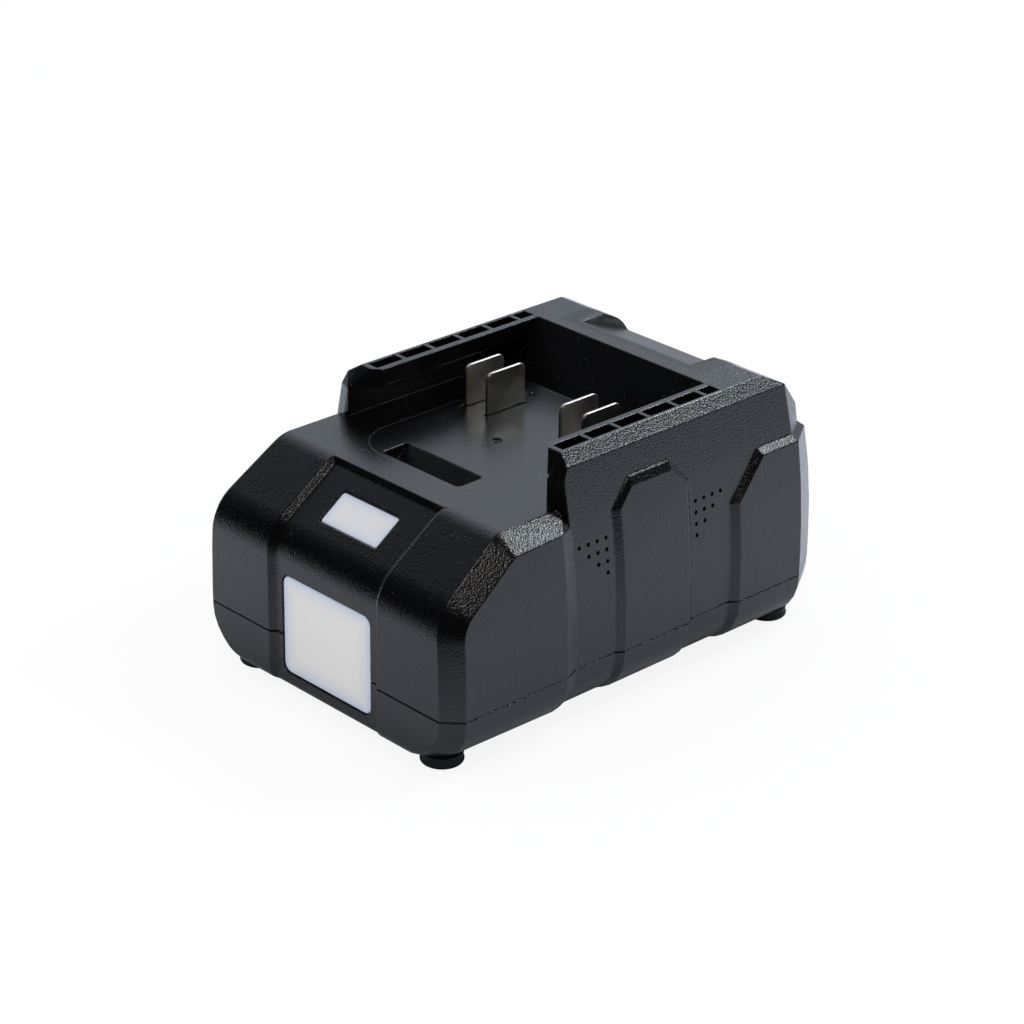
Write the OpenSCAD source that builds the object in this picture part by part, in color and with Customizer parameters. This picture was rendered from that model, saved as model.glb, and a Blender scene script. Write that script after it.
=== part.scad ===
// Desktop charger for slide-on power tool batteries.
// Millimetres. +Z is up, the nose points to -Y, and the origin lies on the
// standing surface under the middle of the case.

/* [Case] */
// Length of the case, nose to back
body_l = 135; // [130:1:150]
// Width of the case across its raised side panels
body_w = 95; // [92:1:106]
// Height of the deck that the battery slides over
deck_z = 58.5; // [56:0.5:66]
// Height of the joint between the two case halves
seam_z = 17; // [15:0.5:19]
// Wall thickness of both case halves
wall = 2.3; // [1.8:0.1:2.8]
// Thickness of the lower case's floor
floor_t = 2.5; // [2:0.1:3]
// Setback of the bevel round the nose and the sides
edge_bevel = 4.6; // [3:0.1:5.5]
// Radius between the sides and the underside
side_round = 13.4; // [12:0.2:14.4]
// Radius between the front and the underside
front_round = 3.5; // [2.5:0.5:5]
// Radius of the slow inward curve of the side walls
lean_radius = 197; // [180:1:400]
// Height at which the side walls start to lean inwards
lean_start = 21.2; // [19:0.1:26]

/* [Nose] */
// Slope of the nose below the horizontal, in degrees
slope_angle = 34.5; // [32:0.5:37]
// Distance from the front face back to the top of the slope
slope_run = 21; // [19:0.5:22]
// Radius between the slope and the front face
nose_round = 13; // [11:0.5:14]
// Radius between the deck and the slope
brow_round = 8; // [6:0.5:10]
// Width of the sunken centre panel, across the top of its bevels
panel_w = 40.8; // [40:0.2:44]
// Width of the bevel down each side of the centre panel
panel_bevel = 1.4; // [1:0.1:2.4]
// Depth of the centre panel below the nose
panel_depth = 1.4; // [1.2:0.1:2]
// Run of the step from the deck down to the centre panel
panel_step = 0.8; // [0.4:0.1:2]

/* [Sides] */
// Length of the raised panel on each side of the nose
cheek_l = 38.2; // [36:0.2:39]
// Length of the step from a raised panel down to the waist
cheek_step = 4.4; // [3:0.2:5]
// Depth of the waist below the raised panels
waist_depth = 1.6; // [1:0.1:2]
// Distance from the rail fronts back to the middle of the side plaque
plaque_y = 29.3; // [28:0.1:30]
// Width of the side plaque's flat face
plaque_w = 23; // [20:0.5:24]
// Height of the top of the side plaque
plaque_top = 59.6; // [56:0.2:61]
// Size of the cut-off upper corners of the plaque
plaque_cut = 4.6; // [3:0.2:6]
// Height of the plaque above the waist
plaque_rise = 1.2; // [0.8:0.1:1.5]
// Width of the bevel round the plaque and the rear panels
rim_bevel = 2.1; // [1.5:0.1:2.4]
// Distance from the back to the front edge of a rear panel
hip_l = 35.6; // [34:0.2:37]
// Height at which a rear panel's front edge turns back
hip_turn_z = 44.4; // [42:0.2:46]
// Height of the top of a rear panel
hip_top = 54.2; // [53:0.2:55]
// Length and height of the rear panel's slanted edge
hip_slant = 9.7; // [8:0.1:9.8]
// Diameter of the dimples beside the plaque
dot_d = 1.1; // [0.8:0.1:1.4]
// Spacing of the dimples both ways
dot_pitch = 3.05; // [2.6:0.05:3.1]
// Distance from the rail fronts back to the middle between the dimple groups
dot_y = 28.9; // [28:0.1:30]
// Distance from that middle to the nearest dimples
dot_gap = 15.7; // [15:0.1:16]
// Number of dimples in the longest row
dot_rows = 4; // [3:1:4]
// Height of the longest row of dimples
dot_top = 48.7; // [46:0.1:50]

/* [Battery bay] */
// Distance from the front of the case to the front of the rails
rail_setback = 40.5; // [39.5:0.5:41.5]
// Length of the bay from the rail fronts to the foot of the ramp
bay_l = 50; // [49:0.5:52]
// Run of the ramp at the back of the bay
ramp_run = 11; // [9:0.5:12]
// Clear width between the two rail lips
lip_gap = 60.6; // [59:0.2:62]
// Thickness of the rail lips
lip_t = 4.7; // [4.4:0.1:5]
// Width across the two grooves under the lips
groove_w = 73; // [71:0.2:74]
// Height of the grooves
groove_h = 8.3; // [7.5:0.1:9]
// Run and drop of the bevel along the outer top of the rails
rail_bevel = [3.6, 2.4]; // [2:0.1:4]
// Run and drop of the sloping front end of the rails
rail_nose = [4.3, 5.5]; // [3:0.1:6]
// Width of the pockets in the rail tops
pocket_w = 3.7; // [3:0.1:4]
// Length of a pocket
pocket_l = 8.8; // [8:0.1:8.9]
// Spacing of the pockets
pocket_pitch = 10.1; // [10:0.1:10.2]
// Number of long pockets in each rail
pocket_count = 5; // [4:1:5]
// Length of the short pocket at the back of each rail
pocket_short = 4.4; // [4:0.1:4.6]
// Depth of the pockets
pocket_depth = 3.4; // [2:0.1:3.6]
// Width of the slot for the battery's latch
latch_w = 28; // [24:0.5:30]
// Length of the latch slot, front to back
latch_l = 8.5; // [7:0.1:9]
// Depth of the latch slot at its front, from where a ramp rises to the deck
latch_depth = 7; // [5:0.5:9]
// Corner radius of the latch slot
latch_round = 1.4; // [0.5:0.1:2]
// Distance from the rail fronts forward to the middle of the latch slot
latch_y = 4; // [3.5:0.1:4.5]

/* [Contacts] */
// Thickness of a contact blade
blade_t = 0.8; // [0.6:0.1:1]
// Length of a blade, front to back
blade_l = 13.3; // [12:0.1:14]
// Height of a blade above the deck
blade_h = 11.3; // [10:0.1:12]
// Corner radius of a blade
blade_round = 2; // [1:0.1:2.5]
// Distance of the inner blades from the centre line
blade_inner = 13.4; // [12.5:0.1:14]
// Distance of the outer blades from the centre line
blade_outer = 21.3; // [20.5:0.1:22]
// Distance from the blades back to the foot of the ramp
blade_gap = 10.1; // [9:0.1:11]

/* [Windows] */
// Width of the charge window in the nose
window_w = 20.8; // [18:0.2:22]
// Height of the charge window along the slope
window_h = 9.6; // [8:0.2:10]
// Distance from the front face back to the middle of the charge window
window_y = 12.6; // [12:0.2:13]
// Width of the front lens
lens_w = 33; // [30:0.5:34]
// Height of the lower edge of the front lens
lens_z = 6.9; // [6.5:0.1:8]
// Height of the front lens
lens_h = 27; // [24:0.5:28]
// Corner radius of the front lens
lens_round = 2.6; // [1.5:0.1:3]
// Thickness of the window plates behind their face
flange_t = 1.5; // [1:0.1:1.8]
// Overlap of the window flanges behind the wall
flange_lap = 1.5; // [1:0.1:1.6]
// Gap round a window in its opening
window_fit = 0.15; // [0.1:0.05:0.25]

/* [Back] */
// Length of the upright bevels on the rear corners, along the sides
corner_l = 12.7; // [11:0.1:13.5]
// Width of the upright bevels on the rear corners, along the back
corner_w = 8.5; // [7:0.1:9]
// Width of the recess in the back
recess_w = 39; // [36:0.5:41]
// Depth of the recess below the back panels
recess_depth = 6; // [5:0.2:7]
// Length of the bridge between the ramp and the recess
bridge_l = 6.1; // [5:0.1:7]
// Slope of the recess below the bridge, in degrees
recess_angle = 21.8; // [21:0.2:24]
// Height of the middle of the mains inlet
inlet_z = 30; // [28:0.5:32]
// Width and height of the mains socket's mouth
socket_w = 18.2; // [18:0.1:18.6]
// Height of the mains socket's mouth
socket_h = 9.4; // [9.2:0.1:9.8]
// Depth of the mains socket
socket_depth = 12; // [11:0.5:13]
// Distance of a mains pin from the centre line
pin_x = 4.35; // [4.2:0.05:4.5]
// Diameter of a mains pin
pin_d = 2.4; // [2.2:0.1:2.6]

/* [Feet and screws] */
// Diameter of a rubber foot
foot_d = 11; // [9:0.5:12]
// Height of the case's underside above the standing surface
foot_h = 2.6; // [2:0.1:4]
// Distance of a foot's middle from the front or side of the case
foot_inset = [12.9, 8.6, 10.4]; // [8:0.1:16]
// Diameter of a case screw's thread
screw_d = 2.9; // [2.5:0.1:3.2]
// Length of a case screw below its head
screw_l = 18; // [16:1:20]
// Distance of the case screws from the centre line
screw_x = 36; // [35:0.5:37]
// Distance of the case screws from the front and from the back
screw_inset = [20.5, 23.5]; // [20:0.5:26]

/* [Circuit boards] */
// Width of the main board
board_w = 62; // [58:1:64]
// Distance from the inside of the back wall to the main board
board_back = 12.7; // [10:0.1:16]
// Thickness of the boards
board_t = 1.6; // [1.2:0.1:2]
// Height of the main board's underside
board_z = 10; // [9:0.5:11]
// Distance from the front of the case to the main board
board_y = 24; // [23:0.5:25]
// Diameter of the power leads
power_lead_d = 2.6; // [2:0.1:3]
// Diameter of the signal leads
signal_lead_d = 1.5; // [1.2:0.1:1.8]

/* [Hidden] */
$fn = 48;

half_w = body_w / 2;
front_y = -body_l / 2;
back_y = body_l / 2;
rail_y = front_y + rail_setback;
ramp_y = rail_y + bay_l;
rail_top = deck_z + groove_h + lip_t;
lip_z = deck_z + groove_h;
slope_y = front_y + slope_run;
cheek_y = front_y + cheek_l;
waist_y = cheek_y + cheek_step;
floor_z = foot_h + floor_t;
panel_half = panel_w / 2;
panel_face = front_y + panel_depth;
inner_front = panel_face + wall;
recess_y = back_y - recess_depth;
inner_back = recess_y - wall;
ceiling_z = deck_z - wall;
crest_y = ramp_y + ramp_run + bridge_l;
blade_y = ramp_y - blade_gap - blade_l;
board_front = front_y + board_y;
board_l = inner_back - board_back - board_front;
board_top = board_z + board_t;
seat_gap = 0.2;
arc_steps = 7;
lead_sides = 8;
far = 200;

// ---- outline functions ------------------------------------------------------

function unit(v) = v / norm(v);

// Arc of radius r that rounds the corner b between the points a and c
function fillet(a, b, c, r) =
    let (u = unit(a - b), v = unit(c - b),
         half = acos(u * v) / 2,
         start = b + u * r / tan(half),
         centre = b + unit(u + v) * r / sin(half),
         from = atan2(start[1] - centre[1], start[0] - centre[0]),
         side = u[0] * v[1] - u[1] * v[0] > 0 ? -1 : 1,
         turn = side * (180 - 2 * half))
    [for (i = [0:arc_steps]) let (a = from + turn * i / arc_steps) centre + r * [cos(a), sin(a)]];

// Inward lean of the side walls at height z
function lean(z) = pow(max(0, z - lean_start), 2) / (2 * lean_radius);

// Inward curve towards the underside at height z, for the radius r
function belly(z, r) = z >= foot_h + r ? 0 : r - sqrt(max(0, r * r - pow(foot_h + r - z, 2)));

// Half-width of the case at its raised panels at height z
function half_at(z) = half_w - lean(z) - belly(z, side_round);

// Height of the nose slope at y, sunk square to the slope by the depth in
function slope_at(y, in) = deck_z - (slope_y - y) * tan(slope_angle) - in / cos(slope_angle);

// Side outline of the nose, all of it sunk by the depth in, with its underside raised by rise
function nose_path(in, rise) =
    let (foot = [front_y + in, foot_h + rise],
         chin = [front_y + in, slope_at(front_y + in, in)],
         brow = [slope_y + in * tan(slope_angle / 2), deck_z - in])
    concat(fillet(foot + [far, 0], foot, chin, max(front_round - in, 0.3)),
           [for (z = side_levels)
               if (z > foot[1] + front_round && z < chin[1] - nose_round * tan(45 - slope_angle / 2))
                   [foot[0], z]],
           fillet(foot, chin, brow, nose_round - in),
           fillet(chin, brow, brow + [far, 0], brow_round - in));

// Back of the case at its raised panels at height z, up to the shoulder
shoulder_z = deck_z - 1;
function back_at(z) = back_y - pow(max(0, z - lean_start), 2) / 266 - belly(z, front_round);

// Distance from the centre line to the inner edge of the rear corner bevels at height z
function corner_at(z) = half_w - corner_w - 0.6 * belly(z, side_round);
corner_y = back_y - corner_l;

// Half-width of the inside of the case at height z
function inner_half(z) =
    half_at(max(z, foot_h + side_round)) - waist_depth - wall - (z >= foot_h + side_round ? 0 :
        side_round - wall - sqrt(max(0, pow(side_round - wall, 2) - pow(foot_h + side_round - z, 2))));

// Levels at which the walls are sampled
low_levels = [for (i = [0:arc_steps]) foot_h + side_round * (1 - cos(90 * i / arc_steps))];
side_levels = concat(low_levels, [lean_start, 32, 42, 50]);
hip_levels = [for (z = side_levels) if (z < hip_turn_z - 1) z];

// ---- building blocks --------------------------------------------------------

// Convex solid through a list of points
module solid_of(points) {
    hull()
        polyhedron(points = points, faces = [[for (i = [0:len(points) - 1]) i]]);
}

// Prism of an outline drawn in Y and Z, w wide and centred on X
module along_x(w) {
    rotate([90, 0, 90])
        linear_extrude(w, center = true)
            children();
}

// Prism of an outline drawn in X and Z, from y to y + l
module along_y(y, l) {
    translate([0, y + l, 0])
        rotate([90, 0, 0])
            linear_extrude(l)
                children();
}

// Box between two corners
module box(low, high) {
    translate(low)
        cube(high - low);
}

// Frame on the sunken nose slope: its origin at y, +Z square out of the slope
module on_slope(y) {
    translate([0, y, slope_at(y, panel_depth)])
        rotate([slope_angle, 0, 0])
            children();
}

module both_sides() {
    for (side = [-1, 1])
        scale([side, 1, 1])
            children();
}

// Rectangle with round corners, centred
module round_rect(w, h, r) {
    offset(r)
        square([w - 2 * r, h - 2 * r], center = true);
}

// ---- outer form -------------------------------------------------------------

// One side of the nose, from the centre panel's bevel to the waist
module cheek(side) {
    top = deck_z - edge_bevel * 0.85;
    solid_of(concat(
        [for (p = nose_path(0, 0)) [side * panel_half, p[0], p[1]]],
        [for (p = nose_path(0, 0))
            [side * (half_at(p[1]) - edge_bevel - 0.4 * belly(p[1], side_round)), p[0], p[1]]],
        [for (p = nose_path(panel_depth, 0)) [side * (panel_half - panel_bevel), p[0], p[1]]],
        [for (p = nose_path(edge_bevel, 0)) [side * half_at(p[1]), p[0], p[1]]],
        [for (z = concat(side_levels, [top])) [side * half_at(z), cheek_y, z]],
        [for (z = concat(side_levels, [top])) [side * (half_at(z) - waist_depth), waist_y, z]],
        [for (y = [cheek_y, waist_y]) [side * (half_at(deck_z) - edge_bevel), y, deck_z]],
        [for (z = [foot_h, deck_z]) [side * (panel_half - panel_bevel), waist_y, z]]));
}

// Sunken centre of the nose, with the step up to the deck
module nose_centre() {
    step_top = slope_y + 0.9;
    step_foot = step_top - panel_step;
    straight = slope_y - brow_round * tan(slope_angle / 2);
    path = [for (p = nose_path(panel_depth, 0)) if (p[0] < straight && p[1] < deck_z - panel_depth) p];
    along_x(panel_w)
        polygon(concat([[waist_y, foot_h]], path,
                       [[step_foot, slope_at(step_foot, panel_depth)], [step_top, deck_z],
                        [waist_y, deck_z]]));
}

// Main block at waist level: sides, rails, ramp block and back
module main_block() {
    rise = rail_top - deck_z;
    bevel_z = rail_top - rail_bevel[1];
    top_x = half_at(bevel_z) - waist_depth - rail_bevel[0];
    nose_z = rail_top - rail_nose[1];
    levels = concat(side_levels, [shoulder_z]);
    shoulder = [[0, 0], [3.5, 0.4], [5.3, 1.6], [7.1, 3], [9.5, 4.9], [11, 6.6], [12.2, 8.6]];
    shoulder_y = back_at(shoulder_z) - waist_depth;
    corner_in = half_w - corner_w - 1;
    solid_of([for (side = [-1, 1]) each concat(
        [for (z = levels) [side * (half_at(z) - waist_depth), rail_y + 1.5, z]],
        [for (z = levels) [side * (half_at(z) - waist_depth - 4), rail_y, z]],
        [for (z = levels) [side * (half_at(z) - waist_depth), corner_y - 0.8, z]],
        [for (z = levels) [side * (corner_at(z) - 1), back_at(z) - waist_depth, z]],
        [for (s = shoulder) [side * corner_in, shoulder_y - s[1], shoulder_z + s[0]]],
        [[side * (half_at(nose_z) - waist_depth), rail_y + 1.5, nose_z],
         [side * (half_at(nose_z) - waist_depth - 4), rail_y, nose_z],
         [side * (half_at(bevel_z) - waist_depth), rail_y + rail_nose[0] * 0.7, bevel_z],
         [side * (half_at(bevel_z) - waist_depth), corner_y - 1.4, bevel_z],
         [side * top_x, rail_y + rail_nose[0], rail_top],
         [side * top_x, shoulder_y - 12.6, rail_top]])]);
}

// Raised plaque on both sides
module plaques() {
    middle = rail_y + plaque_y;
    sink = waist_depth - plaque_rise;
    flat = plaque_w / 2;
    rim = flat + rim_bevel;
    levels = [for (z = side_levels) if (z < plaque_top - plaque_cut - 1) z];
    solid_of([for (side = [-1, 1]) each concat(
        [for (z = concat(levels, [plaque_top - plaque_cut])) for (e = [-1, 1])
            [side * (half_at(z) - sink), middle + e * flat, z]],
        [for (e = [-1, 1]) [side * (half_at(plaque_top) - sink),
                            middle + e * (flat - plaque_cut), plaque_top]],
        [for (z = concat(levels, [plaque_top - plaque_cut])) for (e = [-1, 1])
            [side * (half_at(z) - waist_depth), middle + e * rim, z]],
        [for (e = [-1, 1]) [side * (half_at(plaque_top) - waist_depth - 0.2),
                            middle + e * (flat - plaque_cut), plaque_top + rim_bevel]])]);
}

// Raised rear panels, which run round the corners and across the back
module hips() {
    start = back_y - hip_l;
    rim = 0.8 * rim_bevel;
    solid_of([for (side = [-1, 1]) each concat(
        [for (z = concat(hip_levels, [hip_turn_z])) [side * half_at(z), start, z]],
        [[side * half_at(hip_top), start + hip_slant, hip_top]],
        [for (z = concat(hip_levels, [hip_turn_z, hip_top])) [side * half_at(z), corner_y, z]],
        [for (z = concat(hip_levels, [hip_turn_z, hip_top])) [side * corner_at(z), back_at(z), z]],
        [for (z = concat(hip_levels, [hip_turn_z]))
            [side * (half_at(z) - waist_depth), start - rim_bevel, z]],
        [[side * (half_at(hip_top + rim) - waist_depth), start + hip_slant - 0.9, hip_top + rim]],
        [[side * (half_at(hip_top + rim) - waist_depth), corner_y - 0.8, hip_top + rim]],
        [[side * (corner_at(hip_top) - 1), back_at(hip_top + rim) - waist_depth, hip_top + rim]])]);
}

// Recess in the back, from the bridge down to the underside
module back_recess() {
    run = recess_y - crest_y;
    drop = (run - 4) * tan(recess_angle);
    intersection() {
        along_x(far)
            polygon([[crest_y, rail_top], [recess_y - 4, rail_top - drop], [recess_y, rail_top - drop - 6],
                     [recess_y, -1], [far, -1], [far, far], [crest_y, far]]);
        linear_extrude(far, center = true)
            polygon([[-recess_w / 2, crest_y - 1], [recess_w / 2, crest_y - 1],
                     [recess_w / 2 + 1.5, back_y + 1], [-recess_w / 2 - 1.5, back_y + 1]]);
    }
}

module outer_form() {
    difference() {
        union() {
            cheek(-1);
            cheek(1);
            nose_centre();
            main_block();
            plaques();
            hips();
        }
        back_recess();
    }
}

// Space for the electronics, shared by both case halves
module main_cavity() {
    low = [for (i = [0:arc_steps - 1])
           foot_h + side_round - (side_round - floor_t) * cos(90 * i / arc_steps)];
    levels = concat(low, [foot_h + side_round, lean_start, 32, 42, ceiling_z]);
    corner = 5;
    solid_of(concat(
        [for (side = [-1, 1]) for (p = nose_path(panel_depth + wall, floor_t))
            if (p[1] <= ceiling_z) [side * (inner_half(p[1]) - 1), p[0], p[1]]],
        [for (side = [-1, 1]) for (z = levels)
            each [[side * inner_half(z), slope_y + wall, z],
                  [side * inner_half(z), inner_back - 2 * corner, z],
                  [side * (inner_half(z) - corner), inner_back, z]]]));
}

// Space behind the ramp
module block_cavity() {
    ramp_dir = [ramp_run, rail_top - deck_z];
    ramp_in = wall * [ramp_dir[1], -ramp_dir[0]] / norm(ramp_dir);
    foot = [ramp_y, deck_z] + ramp_in;
    roof = rail_top - wall;
    bend_y = recess_y - 4 - wall;
    along_x(lip_gap + 4)
        polygon([[foot[0] - ramp_run * 0.2, ceiling_z - 1],
                 foot,
                 foot + ramp_dir * (roof - foot[1]) / ramp_dir[1],
                 [crest_y - wall * tan(recess_angle / 2), roof],
                 [bend_y, rail_top - (bend_y - crest_y) * tan(recess_angle) - 1.1 * wall],
                 [inner_back - 0.5, shoulder_z - wall],
                 [inner_back - 0.5, ceiling_z - 1]]);
}

// Bay that the battery slides into, with its grooves, ramp and lead-in
module battery_bay() {
    start = rail_y - 5;
    lead = (groove_w - lip_gap) / 2;
    intersection() {
        along_x(far)
            polygon([[start, deck_z], [ramp_y, deck_z],
                     [ramp_y + 2 * ramp_run, 2 * rail_top - deck_z], [start, 2 * rail_top - deck_z]]);
        union() {
            along_y(start, far)
                translate([-lip_gap / 2, deck_z])
                    square([lip_gap, far]);
            along_y(start, far)
                translate([-groove_w / 2, deck_z])
                    square([groove_w, groove_h]);
            linear_extrude(far)
                polygon([[-groove_w / 2, start], [groove_w / 2, start], [groove_w / 2, rail_y],
                         [lip_gap / 2, rail_y + lead], [-lip_gap / 2, rail_y + lead],
                         [-groove_w / 2, rail_y]]);
        }
    }
}

// Row of pockets in one rail
module pockets() {
    inset = 1.7;
    first = rail_y + rail_nose[0] + 1.6;
    for (i = [0:pocket_count])
        translate([lip_gap / 2 + inset, first + i * pocket_pitch, rail_top - pocket_depth])
            cube([pocket_w, i < pocket_count ? pocket_l : pocket_short, far]);
}

// Dimples beside the plaque: a triangle of rows that shorten downwards
module dimples() {
    middle = rail_y + dot_y;
    for (row = [0:dot_rows - 1])
        for (i = [0:dot_rows - 1 - row])
            for (e = [-1, 1])
                let (z = dot_top - row * dot_pitch)
                translate([half_at(z) - waist_depth, middle + e * (dot_gap + i * dot_pitch), z])
                    rotate([0, 90, 0])
                        cylinder(h = 1.2, d = dot_d, center = true, $fn = 16);
}

// Wells in the deck for the blades
module blade_slots() {
    for (x = [-blade_outer, -blade_inner, blade_inner, blade_outer])
        box([x - blade_t / 2 - 0.4, blade_y - 0.5, ceiling_z - 1],
            [x + blade_t / 2 + 0.4, blade_y + blade_l + 0.5, deck_z + 1]);
}

// Opening for the front lens
module lens_opening(fit, y0, y1) {
    translate([0, y0, lens_z + lens_h / 2])
        rotate([-90, 0, 0])
            linear_extrude(y1 - y0)
                round_rect(lens_w + 2 * fit, lens_h + 2 * fit, lens_round);
}

// Places of the case screws
module at_screws() {
    for (side = [-1, 1])
        for (y = [front_y + screw_inset[0], back_y - screw_inset[1]])
            translate([side * screw_x, y, 0])
                children();
}

// Places of the feet, measured from the case's front, side and back
function foot_at(side, rear) = [side * (half_w - foot_inset[0]),
                                rear ? back_y - foot_inset[2] : front_y + foot_inset[1], 0];

module at_feet() {
    for (side = [-1, 1])
        for (rear = [false, true])
            translate(foot_at(side, rear))
                children();
}

// Places of the contact block's screws
module at_ears() {
    for (side = [-1, 1])
        translate([side * ear_x, blade_y + blade_l / 2, 0])
            children();
}

// Places of the status board's posts, on the slope's frame
module at_status_posts() {
    for (side = [-1, 1])
        translate([side * status_post_x, 0, 0])
            children();
}

// Latch slot with its ramp, or with a wall the well round it
module latch_well(t) {
    middle = rail_y - latch_y;
    front = middle - latch_l / 2;
    intersection() {
        along_x(latch_w + 2 * t)
            offset(delta = t)
                polygon([[front, deck_z + 1], [front, deck_z - latch_depth],
                         [front + 1, deck_z - latch_depth], [front + latch_l, deck_z],
                         [front + latch_l, deck_z + 1]]);
        translate([0, middle, 0])
            linear_extrude(far)
                round_rect(latch_w + 2 * t, latch_l + 2 * t, latch_round + t);
    }
}

// Gate mark sunk into the deck: a dish with a nub in its middle
module gate_mark() {
    translate([0, rail_y + 17.6, deck_z - 0.5])
        difference() {
            cylinder(h = 1, d1 = 2.2, d2 = 4.8);
            translate([0, 0, -1])
                cylinder(h = 1.3, d = 0.9);
        }
}

// Plus and minus signs sunk into the deck behind the blades
module polarity_marks() {
    size = 3.2;
    stroke = 0.8;
    for (side = [-1, 1])
        translate([side * (blade_inner + 2.2), blade_y + blade_l + 4.6, deck_z - 0.5])
            union() {
                translate([-size / 2, -stroke / 2, 0])
                    cube([size, stroke, 1]);
                if (side < 0)
                    translate([-stroke / 2, -size / 2, 0])
                        cube([stroke, size, 1]);
            }
}

// Places of the main board's screws
module at_board_screws() {
    for (side = [-1, 1])
        for (y = [board_front + 4, board_front + board_l - 4])
            translate([side * (board_w / 2 - 4), y, 0])
                children();
}

// ---- case halves ------------------------------------------------------------

boss_z = seam_z - 3;
post_d = screw_d + 5.4;
ear_x = blade_outer + 9;
ear_top = ceiling_z - 6;
ear_post_d = 6.4;
ear_screw_d = 2.4;
board_screw_d = 2.2;
rib_y = waist_y + 4;
rib_l = 46;
head_z = foot_h + 3.4;
foot_top = foot_h + 2.4;
foot_pad = foot_top + 2;
status_y = front_y + window_y;
status_drop = 9;
status_post_x = window_w / 2 + flange_lap + 3;
status_post_d = 4.6;
light_y = inner_front + flange_t + 7;
board_half = lens_w / 2 + 1.7;
guide_x = board_half - 0.4;

module upper_case() {
    color([0.045, 0.047, 0.052])
    difference() {
        union() {
            difference() {
                intersection() {
                    outer_form();
                    box([-far, -far, seam_z], [far, far, far]);
                }
                difference() {
                    union() {
                        main_cavity();
                        block_cavity();
                    }
                    // posts for the case screws, joined to the deck and the rails
                    at_screws()
                        cylinder(h = rail_top - wall, d = post_d);
                    // well under the latch slot
                    latch_well(wall);
                    // bosses for the contact block
                    at_ears()
                        translate([0, 0, ear_top])
                            cylinder(h = wall + ceiling_z - ear_top, d = ear_post_d);
                    // posts for the status board
                    on_slope(status_y)
                        at_status_posts()
                            translate([0, 0, -status_drop])
                                cylinder(h = status_drop, d = status_post_d);
                }
            }
            at_screws()
                translate([0, 0, boss_z])
                    cylinder(h = seam_z - boss_z + 1, d = post_d);
        }
        battery_bay();
        both_sides()
            pockets();
        both_sides()
            dimples();
        blade_slots();
        latch_well(0);
        gate_mark();
        polarity_marks();
        // charge window and front lens
        on_slope(status_y)
            box([-window_w / 2 - window_fit, -window_h / 2 - window_fit, -wall - 1],
                [window_w / 2 + window_fit, window_h / 2 + window_fit, 3]);
        lens_opening(window_fit, front_y - 1, inner_front + 0.5);
        // mains inlet
        inlet_cut();
        // pilot bores
        at_screws()
            translate([0, 0, boss_z - 1])
                cylinder(h = screw_l - boss_z + head_z + 3, d = screw_d + 0.1);
        at_ears()
            translate([0, 0, ear_top - 1])
                cylinder(h = 6, d = ear_screw_d + 0.1);
        on_slope(status_y)
            at_status_posts()
                translate([0, 0, -status_drop - 1])
                    cylinder(h = 6, d = 1.9);
    }
}

module lower_case() {
    rib_x = half_at(seam_z) - waist_depth - wall - seat_gap;
    color([0.045, 0.047, 0.052])
    difference() {
        union() {
            difference() {
                intersection() {
                    outer_form();
                    box([-far, -far, -1], [far, far, seam_z]);
                }
                difference() {
                    main_cavity();
                    // bosses for the case screws
                    at_screws()
                        cylinder(h = boss_z, d = post_d + 1.6);
                    // board supports
                    at_board_screws()
                        cylinder(h = board_z, d = 6);
                    // slotted guides for the light board
                    for (side = [-1, 1])
                        box([side * guide_x - 2.2, light_y - 2, 0],
                            [side * guide_x + 2.2, light_y + board_t + 2, seam_z - 1]);
                    // pads behind the feet
                    at_feet()
                        cylinder(h = foot_pad, d = foot_d + 3);
                }
            }
            // ribs that locate the upper case
            both_sides() {
                box([rib_x - 1.4, rib_y, seam_z - 4], [rib_x, rib_y + rib_l, seam_z + 2]);
                box([rib_x - 1.4, rib_y, seam_z - 4], [rib_x + 1, rib_y + rib_l, seam_z - 1]);
            }
        }
        lens_opening(window_fit, front_y - 1, inner_front + 0.5);
        // slots for the light board
        box([-board_half - seat_gap, light_y - seat_gap / 2, floor_z],
            [board_half + seat_gap, light_y + board_t + seat_gap / 2, seam_z]);
        // counterbores and holes for the case screws
        at_screws()
            translate([0, 0, -1])
                cylinder(h = head_z + 1, d = 2 * screw_d + 1.2);
        at_screws()
            cylinder(h = far, d = screw_d + 0.5);
        // pilot bores for the board screws
        at_board_screws()
            translate([0, 0, board_z - 5])
                cylinder(h = board_z, d = board_screw_d + 0.1);
        // seats for the feet
        at_feet() {
            translate([0, 0, -1])
                cylinder(h = foot_top + 1, d = foot_d);
            cylinder(h = far, d = 3.6);
        }
    }
}

// ---- windows ----------------------------------------------------------------

module charge_window() {
    color([0.84, 0.9, 0.98, 0.9])
    on_slope(status_y) {
        box([-window_w / 2, -window_h / 2, -wall - flange_t], [window_w / 2, window_h / 2, -0.25]);
        box([-window_w / 2 - flange_lap, -window_h / 2 - flange_lap, -wall - flange_t],
            [window_w / 2 + flange_lap, window_h / 2 + flange_lap, -wall]);
        box([-window_w / 2 + 2.5, -window_h / 2 + 2, -status_drop + 1.4],
            [window_w / 2 - 2.5, window_h / 2 - 2, -wall - flange_t]);
    }
}

module front_lens() {
    lap = flange_lap;
    color([0.86, 0.91, 0.98, 0.9]) {
        lens_opening(0, panel_face + 0.1, inner_front + flange_t);
        box([-lens_w / 2 - lap, inner_front, lens_z - lap],
            [lens_w / 2 + lap, inner_front + flange_t, lens_z + lens_h + lap]);
    }
}

// ---- feet -------------------------------------------------------------------

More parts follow.
